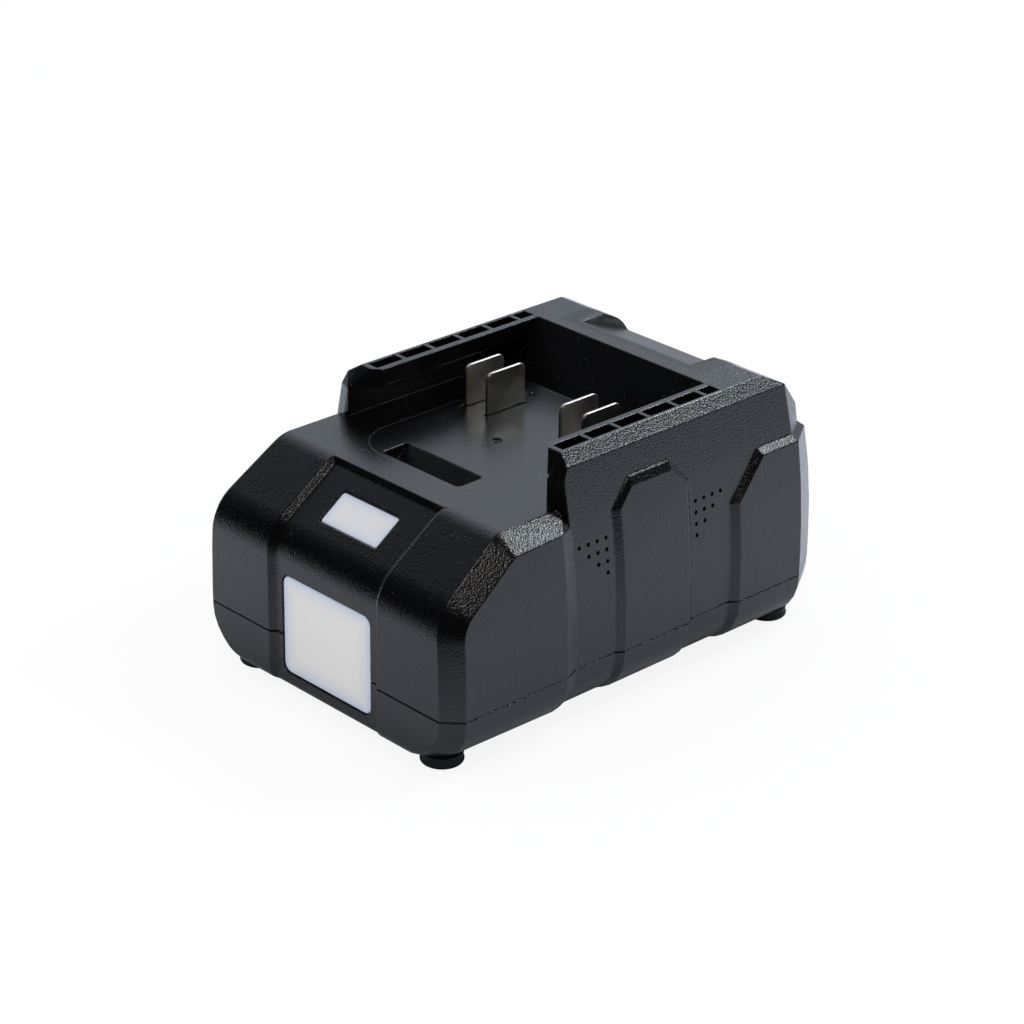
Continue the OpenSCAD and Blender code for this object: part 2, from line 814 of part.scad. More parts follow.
// Rubber foot: a pad in a shallow seat, with a stem pressed through the floor
module foot(side, rear) {
    color([0.03, 0.03, 0.032])
    translate(foot_at(side, rear))
        rotate_extrude()
            polygon([[0, 0], [foot_d / 2 - 0.8, 0], [foot_d / 2, 0.8], [foot_d / 2, foot_top],
                     [1.8, foot_top], [1.8, foot_pad], [0, foot_pad]]);
}

module foot_front_left() { foot(-1, false); }
module foot_front_right() { foot(1, false); }
module foot_rear_left() { foot(-1, true); }
module foot_rear_right() { foot(1, true); }

// ---- contacts ---------------------------------------------------------------

block_z = ceiling_z - 9;
tail_z = block_z - 4;

// Blade with rounded upper corners and a narrow solder tail
module blade(x) {
    top = deck_z + blade_h;
    r = blade_round;
    color([0.72, 0.71, 0.68])
    translate([x, blade_y, 0])
        along_x(blade_t)
            union() {
                translate([0, block_z])
                    square([blade_l, top - r - block_z]);
                translate([r, top - r - 1])
                    square([blade_l - 2 * r, r + 1]);
                for (y = [r, blade_l - r])
                    translate([y, top - r])
                        circle(r, $fn = 32);
                translate([blade_l / 2 - 2, tail_z])
                    square([4, block_z - tail_z + 1]);
            }
}

module blade_outer_left() { blade(-blade_outer); }
module blade_inner_left() { blade(-blade_inner); }
module blade_inner_right() { blade(blade_inner); }
module blade_outer_right() { blade(blade_outer); }

// Moulded block that carries the blades under the deck
module contact_block() {
    half = blade_outer + 4;
    middle = blade_y + blade_l / 2;
    color([0.12, 0.12, 0.13])
    difference() {
        union() {
            box([-half, blade_y - 3, block_z], [half, blade_y + blade_l + 3, ceiling_z]);
            box([-ear_x - 4, middle - 4, block_z], [ear_x + 4, middle + 4, ear_top]);
        }
        for (x = [-blade_outer, -blade_inner, blade_inner, blade_outer])
            box([x - blade_t / 2, blade_y, block_z - 1], [x + blade_t / 2, blade_y + blade_l, ceiling_z + 1]);
        at_ears()
            translate([0, 0, block_z - 1])
                cylinder(h = 6, d = ear_screw_d + 0.5);
    }
}

// Screw with its head at the origin and its thread along +Z
module screw(d, l, head_d, head_h) {
    rotate_extrude()
        polygon([[0, -head_h], [head_d / 2 - 0.4, -head_h], [head_d / 2, -head_h + 0.4], [head_d / 2, 0],
                 [d / 2, 0], [d / 2, l - 1], [d / 4, l], [0, l]]);
}

module contact_screws() {
    color([0.75, 0.75, 0.73])
    at_ears()
        translate([0, 0, block_z])
            screw(ear_screw_d, 7, 2 * ear_screw_d, 1.6);
}

// ---- main board -------------------------------------------------------------

module main_board() {
    color([0.06, 0.25, 0.13])
    difference() {
        box([-board_w / 2, board_front, board_z], [board_w / 2, board_front + board_l, board_top]);
        at_board_screws()
            translate([0, 0, board_z - 1])
                cylinder(h = board_t + 2, d = 3);
    }
}

module board_screws() {
    color([0.75, 0.75, 0.73])
    at_board_screws()
        translate([0, 0, board_top])
            mirror([0, 0, 1])
                screw(board_screw_d, 6, 2 * board_screw_d, 1.5);
}

// Sizes and places of the parts on the board; the places give the distance from
// the centre line and from the board's front edge, or from its rear edge
sink_size = [54, 3, 26];
sink_fin = [1.5, 8];
sink_at = [0, 20];
chip_sizes = [[10, 6.4, 1.6], [5, 4, 1.5], [7, 7, 1.2]];
chip_places = [[-18, 5.5], [2, 5.5], [18, 5.5]];
output_cap = [9.6, 20];
output_cap_at = [5.6, 31.5];
output_cap_pitch = 10;
core_size = [28, 12, 27];
core_leg = 4.5;
core_post_d = 8.6;
core_lift = 2;
core_at = [-14, 38];
bobbin_wall = 1.2;
input_cap = [16, 30];
input_cap_at = [20, 62];
choke_d = 14;
choke_h = 8;
choke_wire = 1.2;
choke_at = [-1, 56.5];
bridge_size = [16, 4, 11];
bridge_at = [-21, 60];
fuse_d = 5.2;
fuse_l = 14;
fuse_at = [-18, 11];
package_size = [10, 4.4, 9];
package_x = 16;

module on_board(place) {
    translate([place[0], board_front + place[1], board_top])
        children();
}

module on_board_rear(place) {
    translate([place[0], board_front + board_l - place[1], board_top])
        children();
}

module fuse() {
    cap_d = fuse_d + 0.6;
    cap_l = 4;
    end = fuse_l / 2 + 0.5;
    color([0.8, 0.78, 0.68])
    on_board_rear(fuse_at)
        translate([0, 0, cap_d / 2 + 0.3])
            union() {
                rotate([0, 90, 0])
                    cylinder(h = fuse_l, d = fuse_d, center = true);
                for (side = [-1, 1])
                    translate([side * end, 0, 0])
                        rotate([0, 90, 0])
                            cylinder(h = cap_l, d = cap_d, center = true);
                for (side = [-1, 1])
                    translate([side * end, 0, -cap_d / 4 - 0.15])
                        cube([cap_l / 2, cap_l * 0.75, cap_d / 2 + 0.3], center = true);
            }
}

module mains_choke() {
    color([0.2, 0.2, 0.21])
    on_board(choke_at)
        difference() {
            cylinder(h = choke_h, d = choke_d);
            translate([0, 0, -1])
                cylinder(h = choke_h + 2, d = choke_d * 0.5);
        }
}

// Two halves of the choke's winding, wrapped over the ring
module choke_winding() {
    color([0.72, 0.36, 0.14])
    on_board(choke_at)
        for (side = [-1, 1])
            intersection() {
                difference() {
                    cylinder(h = choke_h + choke_wire, d = choke_d + 2 * choke_wire);
                    translate([0, 0, -1])
                        cylinder(h = choke_h + 4, d = choke_d * 0.5 - 2 * choke_wire);
                    difference() {
                        translate([0, 0, -1])
                            cylinder(h = choke_h + 1, d = choke_d);
                        translate([0, 0, -2])
                            cylinder(h = choke_h + 4, d = choke_d * 0.5);
                    }
                }
                translate([side * (choke_d / 2 + 1.5 * choke_wire), 0, choke_h / 2])
                    cube([choke_d, choke_d * 0.8, choke_h + 4], center = true);
            }
}

module bridge_rectifier() {
    w = bridge_size[0];
    t = bridge_size[1];
    h = bridge_size[2];
    color([0.1, 0.1, 0.11])
    on_board(bridge_at)
        difference() {
            translate([-w / 2, -t / 2, 0])
                cube([w, t, h]);
            translate([w / 2, 0, h])
                rotate([90, 0, 0])
                    cylinder(h = t + 2, r = t / 2, center = true);
        }
}

// Electrolytic capacitor with its crimped neck; size holds its diameter and height
module capacitor(size) {
    r = size[0] / 2;
    h = size[1];
    rotate_extrude()
        polygon([[0, 0], [r, 0], [r, 1.5], [r - 0.5, 2], [r - 0.5, 2.6], [r, 3.1],
                 [r, h - 0.6], [r - 0.6, h], [0, h]]);
}

module input_capacitor() {
    color([0.09, 0.12, 0.3])
    on_board(input_cap_at)
        capacitor(input_cap);
}

core_w = core_size[0];
core_l = core_size[1];
core_h = core_size[2];
window_low = core_lift + core_leg;
window_high = core_h + core_lift - core_leg;

// Ferrite core: two outer legs, a centre leg and two yokes
module transformer_core() {
    color([0.14, 0.14, 0.15])
    on_board(core_at)
        translate([0, 0, core_lift])
            union() {
                translate([-core_w / 2, -core_l / 2, 0])
                    cube([core_w, core_l, core_leg]);
                translate([-core_w / 2, -core_l / 2, core_h - core_leg])
                    cube([core_w, core_l, core_leg]);
                for (side = [-1, 1])
                    translate([side * (core_w - core_leg) / 2, 0, core_h / 2])
                        cube([core_leg, core_l, core_h], center = true);
                cylinder(h = core_h, d = core_post_d);
            }
}

// Bobbin: a tube round the centre leg, two flanges and a pinned foot
module transformer_bobbin() {
    flange_d = core_w - 2 * core_leg - 0.4;
    color([0.07, 0.07, 0.075])
    on_board(core_at)
        difference() {
            union() {
                translate([0, 0, window_low])
                    cylinder(h = window_high - window_low, d = core_post_d + 2 * bobbin_wall);
                for (z = [window_low, window_high - bobbin_wall])
                    translate([0, 0, z])
                        cylinder(h = bobbin_wall, d = flange_d);
                for (side = [-1, 1])
                    translate([-core_w / 2, side * (core_l / 2 + 2) - 2, 0])
                        cube([core_w, 4, window_low + 0.5]);
                for (side = [-1, 1])
                    translate([-core_post_d / 2, side * (core_l / 2 + 0.6) - 1.5, window_low])
                        cube([core_post_d, 3, bobbin_wall]);
            }
            cylinder(h = core_h, d = core_post_d);
        }
}

module transformer_winding() {
    color([0.86, 0.68, 0.14])
    on_board(core_at)
        translate([0, 0, window_low + bobbin_wall])
            difference() {
                cylinder(h = window_high - window_low - 2 * bobbin_wall,
                         d = core_w - 2 * core_leg - 1);
                translate([0, 0, -1])
                    cylinder(h = core_h, d = core_post_d + 2 * bobbin_wall);
            }
}

// Finned aluminium heat sink
module heat_sink() {
    fins = 6;
    w = sink_size[0];
    t = sink_size[1];
    h = sink_size[2];
    color([0.7, 0.71, 0.73])
    on_board(sink_at)
        union() {
            translate([-w / 2, -t / 2, 0])
                cube([w, t, h]);
            for (i = [0:fins - 1])
                translate([-w / 2 + i * (w - sink_fin[0]) / (fins - 1), -t / 2 - sink_fin[1] + 0.5, 0])
                    cube([sink_fin[0], sink_fin[1], h]);
        }
}

// Power transistor and diode, clipped flat to the heat sink
module power_semiconductors() {
    w = package_size[0];
    t = package_size[1];
    h = package_size[2];
    color([0.08, 0.08, 0.085])
    on_board(sink_at)
        for (side = [-1, 1])
            translate([side * package_x, sink_size[1] / 2, 3])
                union() {
                    translate([-w / 2, 0, 4])
                        cube([w, t, h]);
                    translate([-w / 2, 0, 4 + h])
                        cube([w, 1.3, 6]);
                    for (x = [-2.54, 0, 2.54])
                        translate([x - 0.4, 1.8, -3])
                            cube([0.8, 0.6, 7.5]);
                }
}

module output_capacitors() {
    color([0.1, 0.13, 0.32])
    for (i = [0:2])
        on_board(output_cap_at + [i * output_cap_pitch, 0])
            capacitor(output_cap);
}

module control_chips() {
    color([0.05, 0.05, 0.055])
    for (i = [0:len(chip_sizes) - 1])
        on_board(chip_places[i] - [chip_sizes[i][0], chip_sizes[i][1]] / 2)
            cube(chip_sizes[i]);
}

// ---- mains inlet ------------------------------------------------------------

inlet_w = 22.4;
inlet_h = 13;
inlet_back = recess_y - 15.5;

module stadium(w, h) {
    square([w - h, h], center = true);
    for (side = [-1, 1])
        translate([side * (w - h) / 2, 0])
            circle(d = h);
}

// Hole in the back wall for the inlet
module inlet_cut() {
    box([-inlet_w / 2 - seat_gap, inner_back - 3, inlet_z - inlet_h / 2 - seat_gap],
        [inlet_w / 2 + seat_gap, recess_y + 1, inlet_z + inlet_h / 2 + seat_gap]);
}

module mains_inlet() {
    color([0.06, 0.06, 0.065])
    difference() {
        union() {
            box([-inlet_w / 2, inlet_back, inlet_z - inlet_h / 2],
                [inlet_w / 2, recess_y + 0.6, inlet_z + inlet_h / 2]);
            box([-inlet_w / 2 - 1.6, inner_back - 3, inlet_z - inlet_h / 2 - 1.6],
                [inlet_w / 2 + 1.6, inner_back, inlet_z + inlet_h / 2 + 1.6]);
        }
        translate([0, recess_y + 1, inlet_z])
            rotate([90, 0, 0])
                linear_extrude(socket_depth + 1)
                    stadium(socket_w, socket_h);
        for (side = [-1, 1])
            translate([side * pin_x, 0, inlet_z])
                rotate([-90, 0, 0])
                    cylinder(h = far, d = pin_d);
    }
}

module inlet_pins() {
    color([0.78, 0.78, 0.76])
    for (side = [-1, 1])
        translate([side * pin_x, inlet_back - 4, inlet_z])
            rotate([-90, 0, 0])
                cylinder(h = 16.2, d = pin_d);
}

// ---- lights -----------------------------------------------------------------

module light_board() {
    top = lens_z + lens_h + 1;
    color([0.06, 0.25, 0.13])
    box([-board_half, light_y, floor_z], [board_half, light_y + board_t, top]);
}

module front_lamps() {
    color([0.95, 0.93, 0.8])
    for (x = [-8, 8])
        for (z = [lens_z + lens_h * 0.28, lens_z + lens_h * 0.72])
            box([x - 1.75, light_y - 1, z - 1.4], [x + 1.75, light_y, z + 1.4]);
}

// White frame that keeps the lamps' light behind the lens
module light_box() {
    w = lens_w - 3;
    h = lens_h - 3;
    t = 1.2;
    middle = lens_z + lens_h / 2;
    color([0.9, 0.9, 0.9])
    difference() {
        box([-w / 2, inner_front + flange_t, middle - h / 2], [w / 2, light_y, middle + h / 2]);
        box([-w / 2 + t, inner_front, middle - h / 2 + t], [w / 2 - t, light_y + 1, middle + h / 2 - t]);
    }
}

module status_board() {
    half = status_post_x + 3;
    color([0.06, 0.25, 0.13])
    on_slope(status_y)
        difference() {
            box([-half, -6.5, -status_drop - board_t], [half, 6.5, -status_drop]);
            at_status_posts()
                translate([0, 0, -status_drop - board_t - 1])
                    cylinder(h = board_t + 2, d = 2.4);
        }
}

module status_lamps() {
    color([0.95, 0.93, 0.8])
    on_slope(status_y)
        for (x = [-5.5, 0, 5.5])
            box([x - 1, -0.8, -status_drop], [x + 1, 0.8, -status_drop + 1.1]);
}

module case_screws() {
    color([0.7, 0.7, 0.69])
    at_screws()
        translate([0, 0, head_z])
            screw(screw_d, screw_l, 2 * screw_d, 2.2);
}

// ---- leads ------------------------------------------------------------------

// Point of a cubic curve with the control points c at t from 0 to 1
function curve(c, t) = pow(1 - t, 3) * c[0] + 3 * t * pow(1 - t, 2) * c[1]
                     + 3 * t * t * (1 - t) * c[2] + pow(t, 3) * c[3];

// Round lead swept along a cubic curve; the vector across is never along the lead
module lead(c, d, across, rings = 18) {
    path = [for (i = [0:rings]) curve(c, i / rings)];
    tangent = [for (i = [0:rings]) unit(path[min(i + 1, rings)] - path[max(i - 1, 0)])];
    points = [for (i = [0:rings]) let (u = unit(cross(tangent[i], across)), v = cross(tangent[i], u))
              for (k = [0:lead_sides - 1])
                  path[i] + d / 2 * (cos(360 * k / lead_sides) * u + sin(360 * k / lead_sides) * v)];
    sides = [for (i = [0:rings - 1]) for (k = [0:lead_sides - 1]) let (n = (k + 1) % lead_sides)
             [(i + 1) * lead_sides + k, (i + 1) * lead_sides + n, i * lead_sides + n, i * lead_sides + k]];
    polyhedron(points = points,
               faces = concat([[for (k = [0:lead_sides - 1]) k]], sides,
                              [[for (k = [0:lead_sides - 1]) (rings + 1) * lead_sides - 1 - k]]));
}

// Control points of a lead that drops from a blade's tail at x and y
function drop_path(x, y) = [[x, y, tail_z], [x, y, tail_z - 10],
                            [x, y + 2.2, board_top + 12], [x, y + 2.2, board_top]];

// Leads from the blades' tails down to the main board
module contact_leads() {
    y = blade_y + blade_l / 2;
    for (side = [-1, 1]) {
        color(side < 0 ? [0.05, 0.05, 0.05] : [0.6, 0.04, 0.03])
        lead(drop_path(side * blade_outer, y), power_lead_d, [1, 0, 0]);
        color([0.75, 0.75, 0.72])
        lead(drop_path(side * blade_inner, y), signal_lead_d, [1, 0, 0]);
    }
}

// Leads from the mains pins to the board
module inlet_leads() {
    y = inlet_back - 4;
    for (side = [-1, 1])
        color(side < 0 ? [0.05, 0.1, 0.45] : [0.35, 0.18, 0.06])
        lead([[side * pin_x, y, inlet_z], [side * pin_x, y - 9, inlet_z],
              [side * pin_x, y - 8, board_top + 10], [side * pin_x, y - 6, board_top]],
             power_lead_d, [1, 0, 0]);
}

// Leads from the front light board to the main board
module lamp_leads() {
    y = light_y + board_t;
    for (side = [-1, 1])
        color(side < 0 ? [0.05, 0.05, 0.05] : [0.7, 0.7, 0.68])
        lead([[side * 6, y, 22], [side * 6, y + 6, 22], [side * 6, board_front + 3, board_top + 8],
              [side * 6, board_front + 3, board_top]], signal_lead_d, [1, 0, 0]);
}

// Leads from the status board to the main board
module status_leads() {
    low = slope_at(status_y, panel_depth);
    depth = status_drop + board_t;
    foot = [0, status_y + depth * sin(slope_angle), low - depth * cos(slope_angle)];
    for (side = [-1, 1])
        color(side < 0 ? [0.7, 0.7, 0.68] : [0.1, 0.35, 0.12])
        lead([foot + [side * 10, 0, 0], foot + [side * 10, 7 * sin(slope_angle), -7 * cos(slope_angle)],
              [side * 10, board_front + 8, board_top + 12], [side * 10, board_front + 8, board_top]],
             signal_lead_d, [1, 0, 0]);
}

upper_case();
lower_case();
charge_window();
front_lens();
foot_front_left();
foot_front_right();
foot_rear_left();
foot_rear_right();
blade_outer_left();
blade_inner_left();
blade_inner_right();
blade_outer_right();
contact_block();
contact_screws();
main_board();
board_screws();
mains_inlet();
inlet_pins();
fuse();
mains_choke();
choke_winding();
bridge_rectifier();
input_capacitor();
transformer_core();
transformer_bobbin();
transformer_winding();
heat_sink();
power_semiconductors();
output_capacitors();
control_chips();
light_board();
front_lamps();
light_box();
status_board();
status_lamps();
case_screws();
contact_leads();
inlet_leads();
lamp_leads();
status_leads();
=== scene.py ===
"""Desktop charger for slide-on tool batteries: the looks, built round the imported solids.

The file is laid out as a Blender add-on. Run as a script it builds the whole scene.
"""

import bmesh
import bpy
import numpy as np
from mathutils import Matrix, Vector


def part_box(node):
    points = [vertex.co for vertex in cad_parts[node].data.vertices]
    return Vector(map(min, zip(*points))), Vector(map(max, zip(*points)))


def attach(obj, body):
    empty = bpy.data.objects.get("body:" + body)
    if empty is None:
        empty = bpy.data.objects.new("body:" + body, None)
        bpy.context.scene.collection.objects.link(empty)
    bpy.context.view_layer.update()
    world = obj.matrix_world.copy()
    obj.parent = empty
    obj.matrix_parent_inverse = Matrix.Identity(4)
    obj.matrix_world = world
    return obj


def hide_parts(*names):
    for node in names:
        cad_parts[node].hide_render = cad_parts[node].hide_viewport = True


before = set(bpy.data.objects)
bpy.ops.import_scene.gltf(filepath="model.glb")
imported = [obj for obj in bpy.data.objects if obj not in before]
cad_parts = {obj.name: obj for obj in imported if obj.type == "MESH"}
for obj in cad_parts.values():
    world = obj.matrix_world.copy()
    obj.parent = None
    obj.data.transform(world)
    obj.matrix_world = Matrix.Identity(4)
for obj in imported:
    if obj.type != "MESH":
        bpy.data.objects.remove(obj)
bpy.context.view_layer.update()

bl_info = {
    "name": "Battery charger builder",
    "version": (1, 0, 0),
    "blender": (4, 5, 0),
    "location": "3D View > Sidebar > Charger",
    "description": "Builds a desktop charger for slide-on batteries piece by piece",
    "category": "Object",
}

MM = 0.001
DECK_LEVEL = 58.5  # height of the deck, in mm
SEAM_LEVEL = 17  # height of the line between the case halves, in mm
SAME_POINT = 0.02 * MM  # corners of a CAD mesh closer than this are one
POLE_GAP = 0.002 * MM  # points of a built surface closer than this are one
FLAT_TURN = 0.4  # faces that turn by less than this many degrees are one flat face
CRISP_RADIUS = 0.12 * MM  # rounding of the small marks
WITNESS_RISE = 0.35  # height of the witness line, as a share of the grain's
WITNESS_SHOW = 0.6  # how far the witness line turns to the lighter grey of WITNESS_TONE
WITNESS_TONE = (0.06, 0.062, 0.066, 1)
DUST_TONE = (0.55, 0.53, 0.5, 1)
EDGE_GAIN = 18.0  # how soon a rounded edge counts as polished


# ---- sizes and colours ------------------------------------------------------


class ChargerCaseSettings(bpy.types.PropertyGroup):
    """Sizes and colours of the moulded case"""

    edge_radius: bpy.props.FloatProperty(
        name="Edge radius", description="Rounding of the moulded edges",
        default=0.0007, min=0.0002, max=0.0012, unit="LENGTH", precision=5)
    grain_depth: bpy.props.FloatProperty(
        name="Grain depth", description="Depth of the spark-eroded grain on the case",
        default=0.00006, min=0, max=0.001, unit="LENGTH", precision=5)
    soft_radius: bpy.props.FloatProperty(
        name="Soft radius", description="Rounding round the top of the rear recess",
        default=0.0026, min=0.0005, max=0.004, unit="LENGTH", precision=4)
    seam_gap: bpy.props.FloatProperty(
        name="Seam gap", description="Width of the line between the case halves",
        default=0.0003, min=0, max=0.001, unit="LENGTH", precision=4)
    plastic: bpy.props.FloatVectorProperty(
        name="Plastic", description="Colour of the case",
        default=(0.0012, 0.0013, 0.0016), size=3, min=0, max=1, subtype="COLOR")


class ChargerLightSettings(bpy.types.PropertyGroup):
    """Sizes and colours of the front lens and the status window"""

    edge_radius: bpy.props.FloatProperty(
        name="Edge radius", description="Rounding round the face of the lens and the window",
        default=0.0005, min=0.0001, max=0.001, unit="LENGTH")
    crown: bpy.props.FloatProperty(
        name="Crown", description="How far the middle of the lens stands out",
        default=0.00012, min=0, max=0.0004, unit="LENGTH", precision=5)
    diffuser: bpy.props.FloatVectorProperty(
        name="Diffuser", description="Colour of the milky plastic",
        default=(0.69, 0.675, 0.665), size=3, min=0, max=1, subtype="COLOR")
    # painted shade: this darker, bluer colour is blended in near the edge of the lens and the window
    rim: bpy.props.FloatVectorProperty(
        name="Rim", description="Colour of the milky plastic near its edge",
        default=(0.50, 0.55, 0.66), size=3, min=0, max=1, subtype="COLOR")


class ChargerBladeSettings(bpy.types.PropertyGroup):
    """Sizes and colour of the contact blades"""

    corner: bpy.props.FloatProperty(
        name="Corner radius", description="Rounding of a blade's upper corners",
        default=0.002, min=0.0005, max=0.004, unit="LENGTH")
    edge_radius: bpy.props.FloatProperty(
        name="Edge radius", description="Rounding of a blade's edges",
        default=0.0002, min=0.00005, max=0.00035, unit="LENGTH")
    nickel: bpy.props.FloatVectorProperty(
        name="Nickel", description="Colour of the plated metal",
        default=(0.74, 0.70, 0.63), size=3, min=0, max=1, subtype="COLOR")


class ChargerInsideSettings(bpy.types.PropertyGroup):
    """Colours of the pieces inside the case"""

    board: bpy.props.FloatVectorProperty(
        name="Circuit boards", description="Colour of the boards",
        default=(0.008, 0.085, 0.03), size=3, min=0, max=1, subtype="COLOR")
    copper: bpy.props.FloatVectorProperty(
        name="Copper", description="Colour of the enamelled wire",
        default=(0.72, 0.30, 0.12), size=3, min=0, max=1, subtype="COLOR")
    leads: bpy.props.FloatVectorProperty(
        name="Leads", description="Colour of the leads' sheaths",
        default=(0.22, 0.012, 0.01), size=3, min=0, max=1, subtype="COLOR")


class ChargerFootSettings(bpy.types.PropertyGroup):
    """Shape and colour of the rubber feet"""

    rim_radius: bpy.props.FloatProperty(
        name="Rim radius", description="Rounding of a foot's lower rim",
        default=0.0009, min=0.0002, max=0.002, unit="LENGTH")
    rubber: bpy.props.FloatVectorProperty(
        name="Rubber", description="Colour of the feet",
        default=(0.0035, 0.0035, 0.0038), size=3, min=0, max=1, subtype="COLOR")


class ChargerStageSettings(bpy.types.PropertyGroup):
    """The camera, the floor and the light"""

    lens: bpy.props.FloatProperty(
        name="Lens", description="Focal length of the camera", default=108.42, min=20, max=300)
    floor: bpy.props.FloatVectorProperty(
        name="Floor", description="Colour of the floor and the surroundings",
        default=(0.93, 0.93, 0.93), size=3, min=0, max=1, subtype="COLOR")
    whiteness: bpy.props.FloatProperty(
        name="Whiteness", description="How far the floor shows as plain white", default=0.88, min=0, max=1)
    room: bpy.props.FloatProperty(
        name="Room light", description="Soft light from all sides", default=0.9, min=0, max=2)
    key: bpy.props.FloatProperty(
        name="Key lamp", description="Lamp behind on the right, in watts", default=3.0, min=0, max=20)
    rim: bpy.props.FloatProperty(
        name="Rim lamp", description="Lamp behind on the left, seen on rounded edges, in watts", default=1.5,
        min=0, max=20)
    glint: bpy.props.FloatProperty(
        name="Glint lamp", description="Small warm lamp overhead, in watts", default=1.5, min=0, max=20)
    fill: bpy.props.FloatProperty(
        name="Fill lamp", description="Lamp in front on the left, in watts", default=2.0, min=0, max=20)


# ---- mesh helpers -----------------------------------------------------------


def merged_copy(node, name):
    """Copy of a CAD node's mesh with its loose triangles joined and flat areas made whole."""
    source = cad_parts[node]
    mesh = source.data.copy()
    mesh.name = name
    mesh.materials.clear()
    piece = bpy.data.objects.new(name, mesh)
    bpy.context.scene.collection.objects.link(piece)
    bm = bmesh.new()
    bm.from_mesh(mesh)
    bmesh.ops.remove_doubles(bm, verts=bm.verts, dist=SAME_POINT)
    bmesh.ops.dissolve_degenerate(bm, edges=bm.edges, dist=SAME_POINT)
    bmesh.ops.dissolve_limit(bm, angle_limit=np.radians(FLAT_TURN), verts=bm.verts, edges=bm.edges)
    bm.to_mesh(mesh)
    bm.free()
    return piece


def open_seam(piece, level, shift):
    """Moves the outer line of a case half away from the parting level, so a dark gap shows."""
    mesh = piece.data
    place = np.empty(len(mesh.vertices) * 3)
    mesh.vertices.foreach_get("co", place)
    place = place.reshape(-1, 3)
    close = SAME_POINT / 2
    place[np.abs(place[:, 2] - level) < close, 2] += shift
    mesh.vertices.foreach_set("co", place.ravel())
    mesh.update()


def shade_smooth(piece, angle):
    """Smooth shading in which flat areas stay flat.

    The normal at a face's corner is the sum of the normals of the faces round that point that turn from
    the face by less than the angle, each times its area, so a large flat face outweighs a thin strip."""
    mesh = piece.data
    count = len(mesh.polygons)
    normal, area, start, total = (np.empty(count * n, kind) for n, kind in
                                  ((3, np.float32), (1, np.float32), (1, np.int32), (1, np.int32)))
    mesh.polygons.foreach_get("normal", normal)
    mesh.polygons.foreach_get("area", area)
    mesh.polygons.foreach_get("loop_start", start)
    mesh.polygons.foreach_get("loop_total", total)
    normal = normal.reshape(-1, 3)
    point = np.empty(len(mesh.loops), np.int32)
    mesh.loops.foreach_get("vertex_index", point)
    order = np.argsort(start, kind="stable")
    face = np.repeat(order, total[order])
    # every pair of corners that share a point
    by_point = np.argsort(point, kind="stable")
    first = np.searchsorted(point[by_point], point)
    many = np.bincount(point)[point]
    a = np.repeat(np.arange(len(point)), many)
    step = np.arange(len(a)) - np.repeat(np.cumsum(many) - many, many)
    b = by_point[np.repeat(first, many) + step]
    near = (normal[face[a]] * normal[face[b]]).sum(axis=1) > np.cos(np.radians(angle))
    weight = (area[face[b]] * near)[:, None] * normal[face[b]]
    out = np.stack([np.bincount(a, weight[:, k], len(point)) for k in range(3)], axis=1)
    out /= np.linalg.norm(out, axis=1)[:, None] + 1e-20
    mesh.polygons.foreach_set("use_smooth", np.ones(count, bool))
    mesh.normals_split_custom_set(out.tolist())


def surface(name, points, wrap=True, depth_in=None):
    """Mesh from a grid of points (rows, columns, 3): each cell is a face; columns may close on themselves.

    Rows that shrink to a point are joined there, so the poles are closed. `depth_in`, one number for each
    row, is kept as an attribute of that name for the material to read."""
    rows, columns = points.shape[:2]
    index = np.arange(rows * columns).reshape(rows, columns)
    if wrap:
        index = np.column_stack([index, index[:, 0]])
    faces = np.stack([index[:-1, :-1], index[:-1, 1:], index[1:, 1:], index[1:, :-1]], axis=-1).reshape(-1, 4)
    mesh = bpy.data.meshes.new(name)
    mesh.from_pydata(points.reshape(-1, 3), [], faces.tolist())
    if depth_in is not None:
        kept = mesh.attributes.new("depth_in", "FLOAT", "POINT")
        kept.data.foreach_set("value", np.repeat(depth_in, columns))
    bm = bmesh.new()
    bm.from_mesh(mesh)
    bmesh.ops.remove_doubles(bm, verts=bm.verts, dist=POLE_GAP)
    bmesh.ops.dissolve_degenerate(bm, edges=bm.edges, dist=POLE_GAP)
    bmesh.ops.recalc_face_normals(bm, faces=bm.faces)
    bm.to_mesh(mesh)
    bm.free()
    mesh.polygons.foreach_set("use_smooth", np.ones(len(mesh.polygons), bool))
    piece = bpy.data.objects.new(name, mesh)
    bpy.context.scene.collection.objects.link(piece)
    return piece


def rounded_plate(half_w, half_h, corners, inset, height, steps=10):
    """Rings of a plate with rounded corners, as (ring, place on the outline, 3) in the plate's own axes.

    Each outline is a rectangle whose corner (k) is an arc: centre plus radius times (cos, sin) of an
    angle that runs through quarter k. A ring is the outline drawn in by `inset` at the given `height`."""
    quarter = np.repeat(np.arange(4), steps + 1)
    angle = (quarter + np.tile(np.linspace(0, 1, steps + 1), 4)) * np.pi / 2
    way = np.stack([np.cos(angle), np.sin(angle)], axis=-1)
    side = np.array([[1, 1], [-1, 1], [-1, -1], [1, -1]])[quarter]
    inset, height = np.asarray(inset, float)[:, None], np.asarray(height, float)[:, None]
    radius = np.maximum(np.asarray(corners)[quarter][None, :] - inset, 0)
    reach = np.array([half_w, half_h])[None, None, :] - (inset + radius)[..., None]
    flat = side[None] * np.maximum(reach, 0) + radius[..., None] * way[None]
    return np.concatenate([flat, np.broadcast_to(height, radius.shape)[..., None]], axis=-1)


def quarter_round(radius, steps=6):
    """Insets and heights of an edge rounded over a quarter circle, from the wall to the face."""
    turn = np.linspace(0, np.pi / 2, steps + 1)
    return radius * (1 - np.cos(turn)), radius * (np.sin(turn) - 1)


def placed(points, origin, across, up, out):
    """Carries points from a plate's own axes to the object's."""
    return (np.asarray(origin) + points[..., :1] * np.asarray(across) + points[..., 1:2] * np.asarray(up)
            + points[..., 2:] * np.asarray(out))


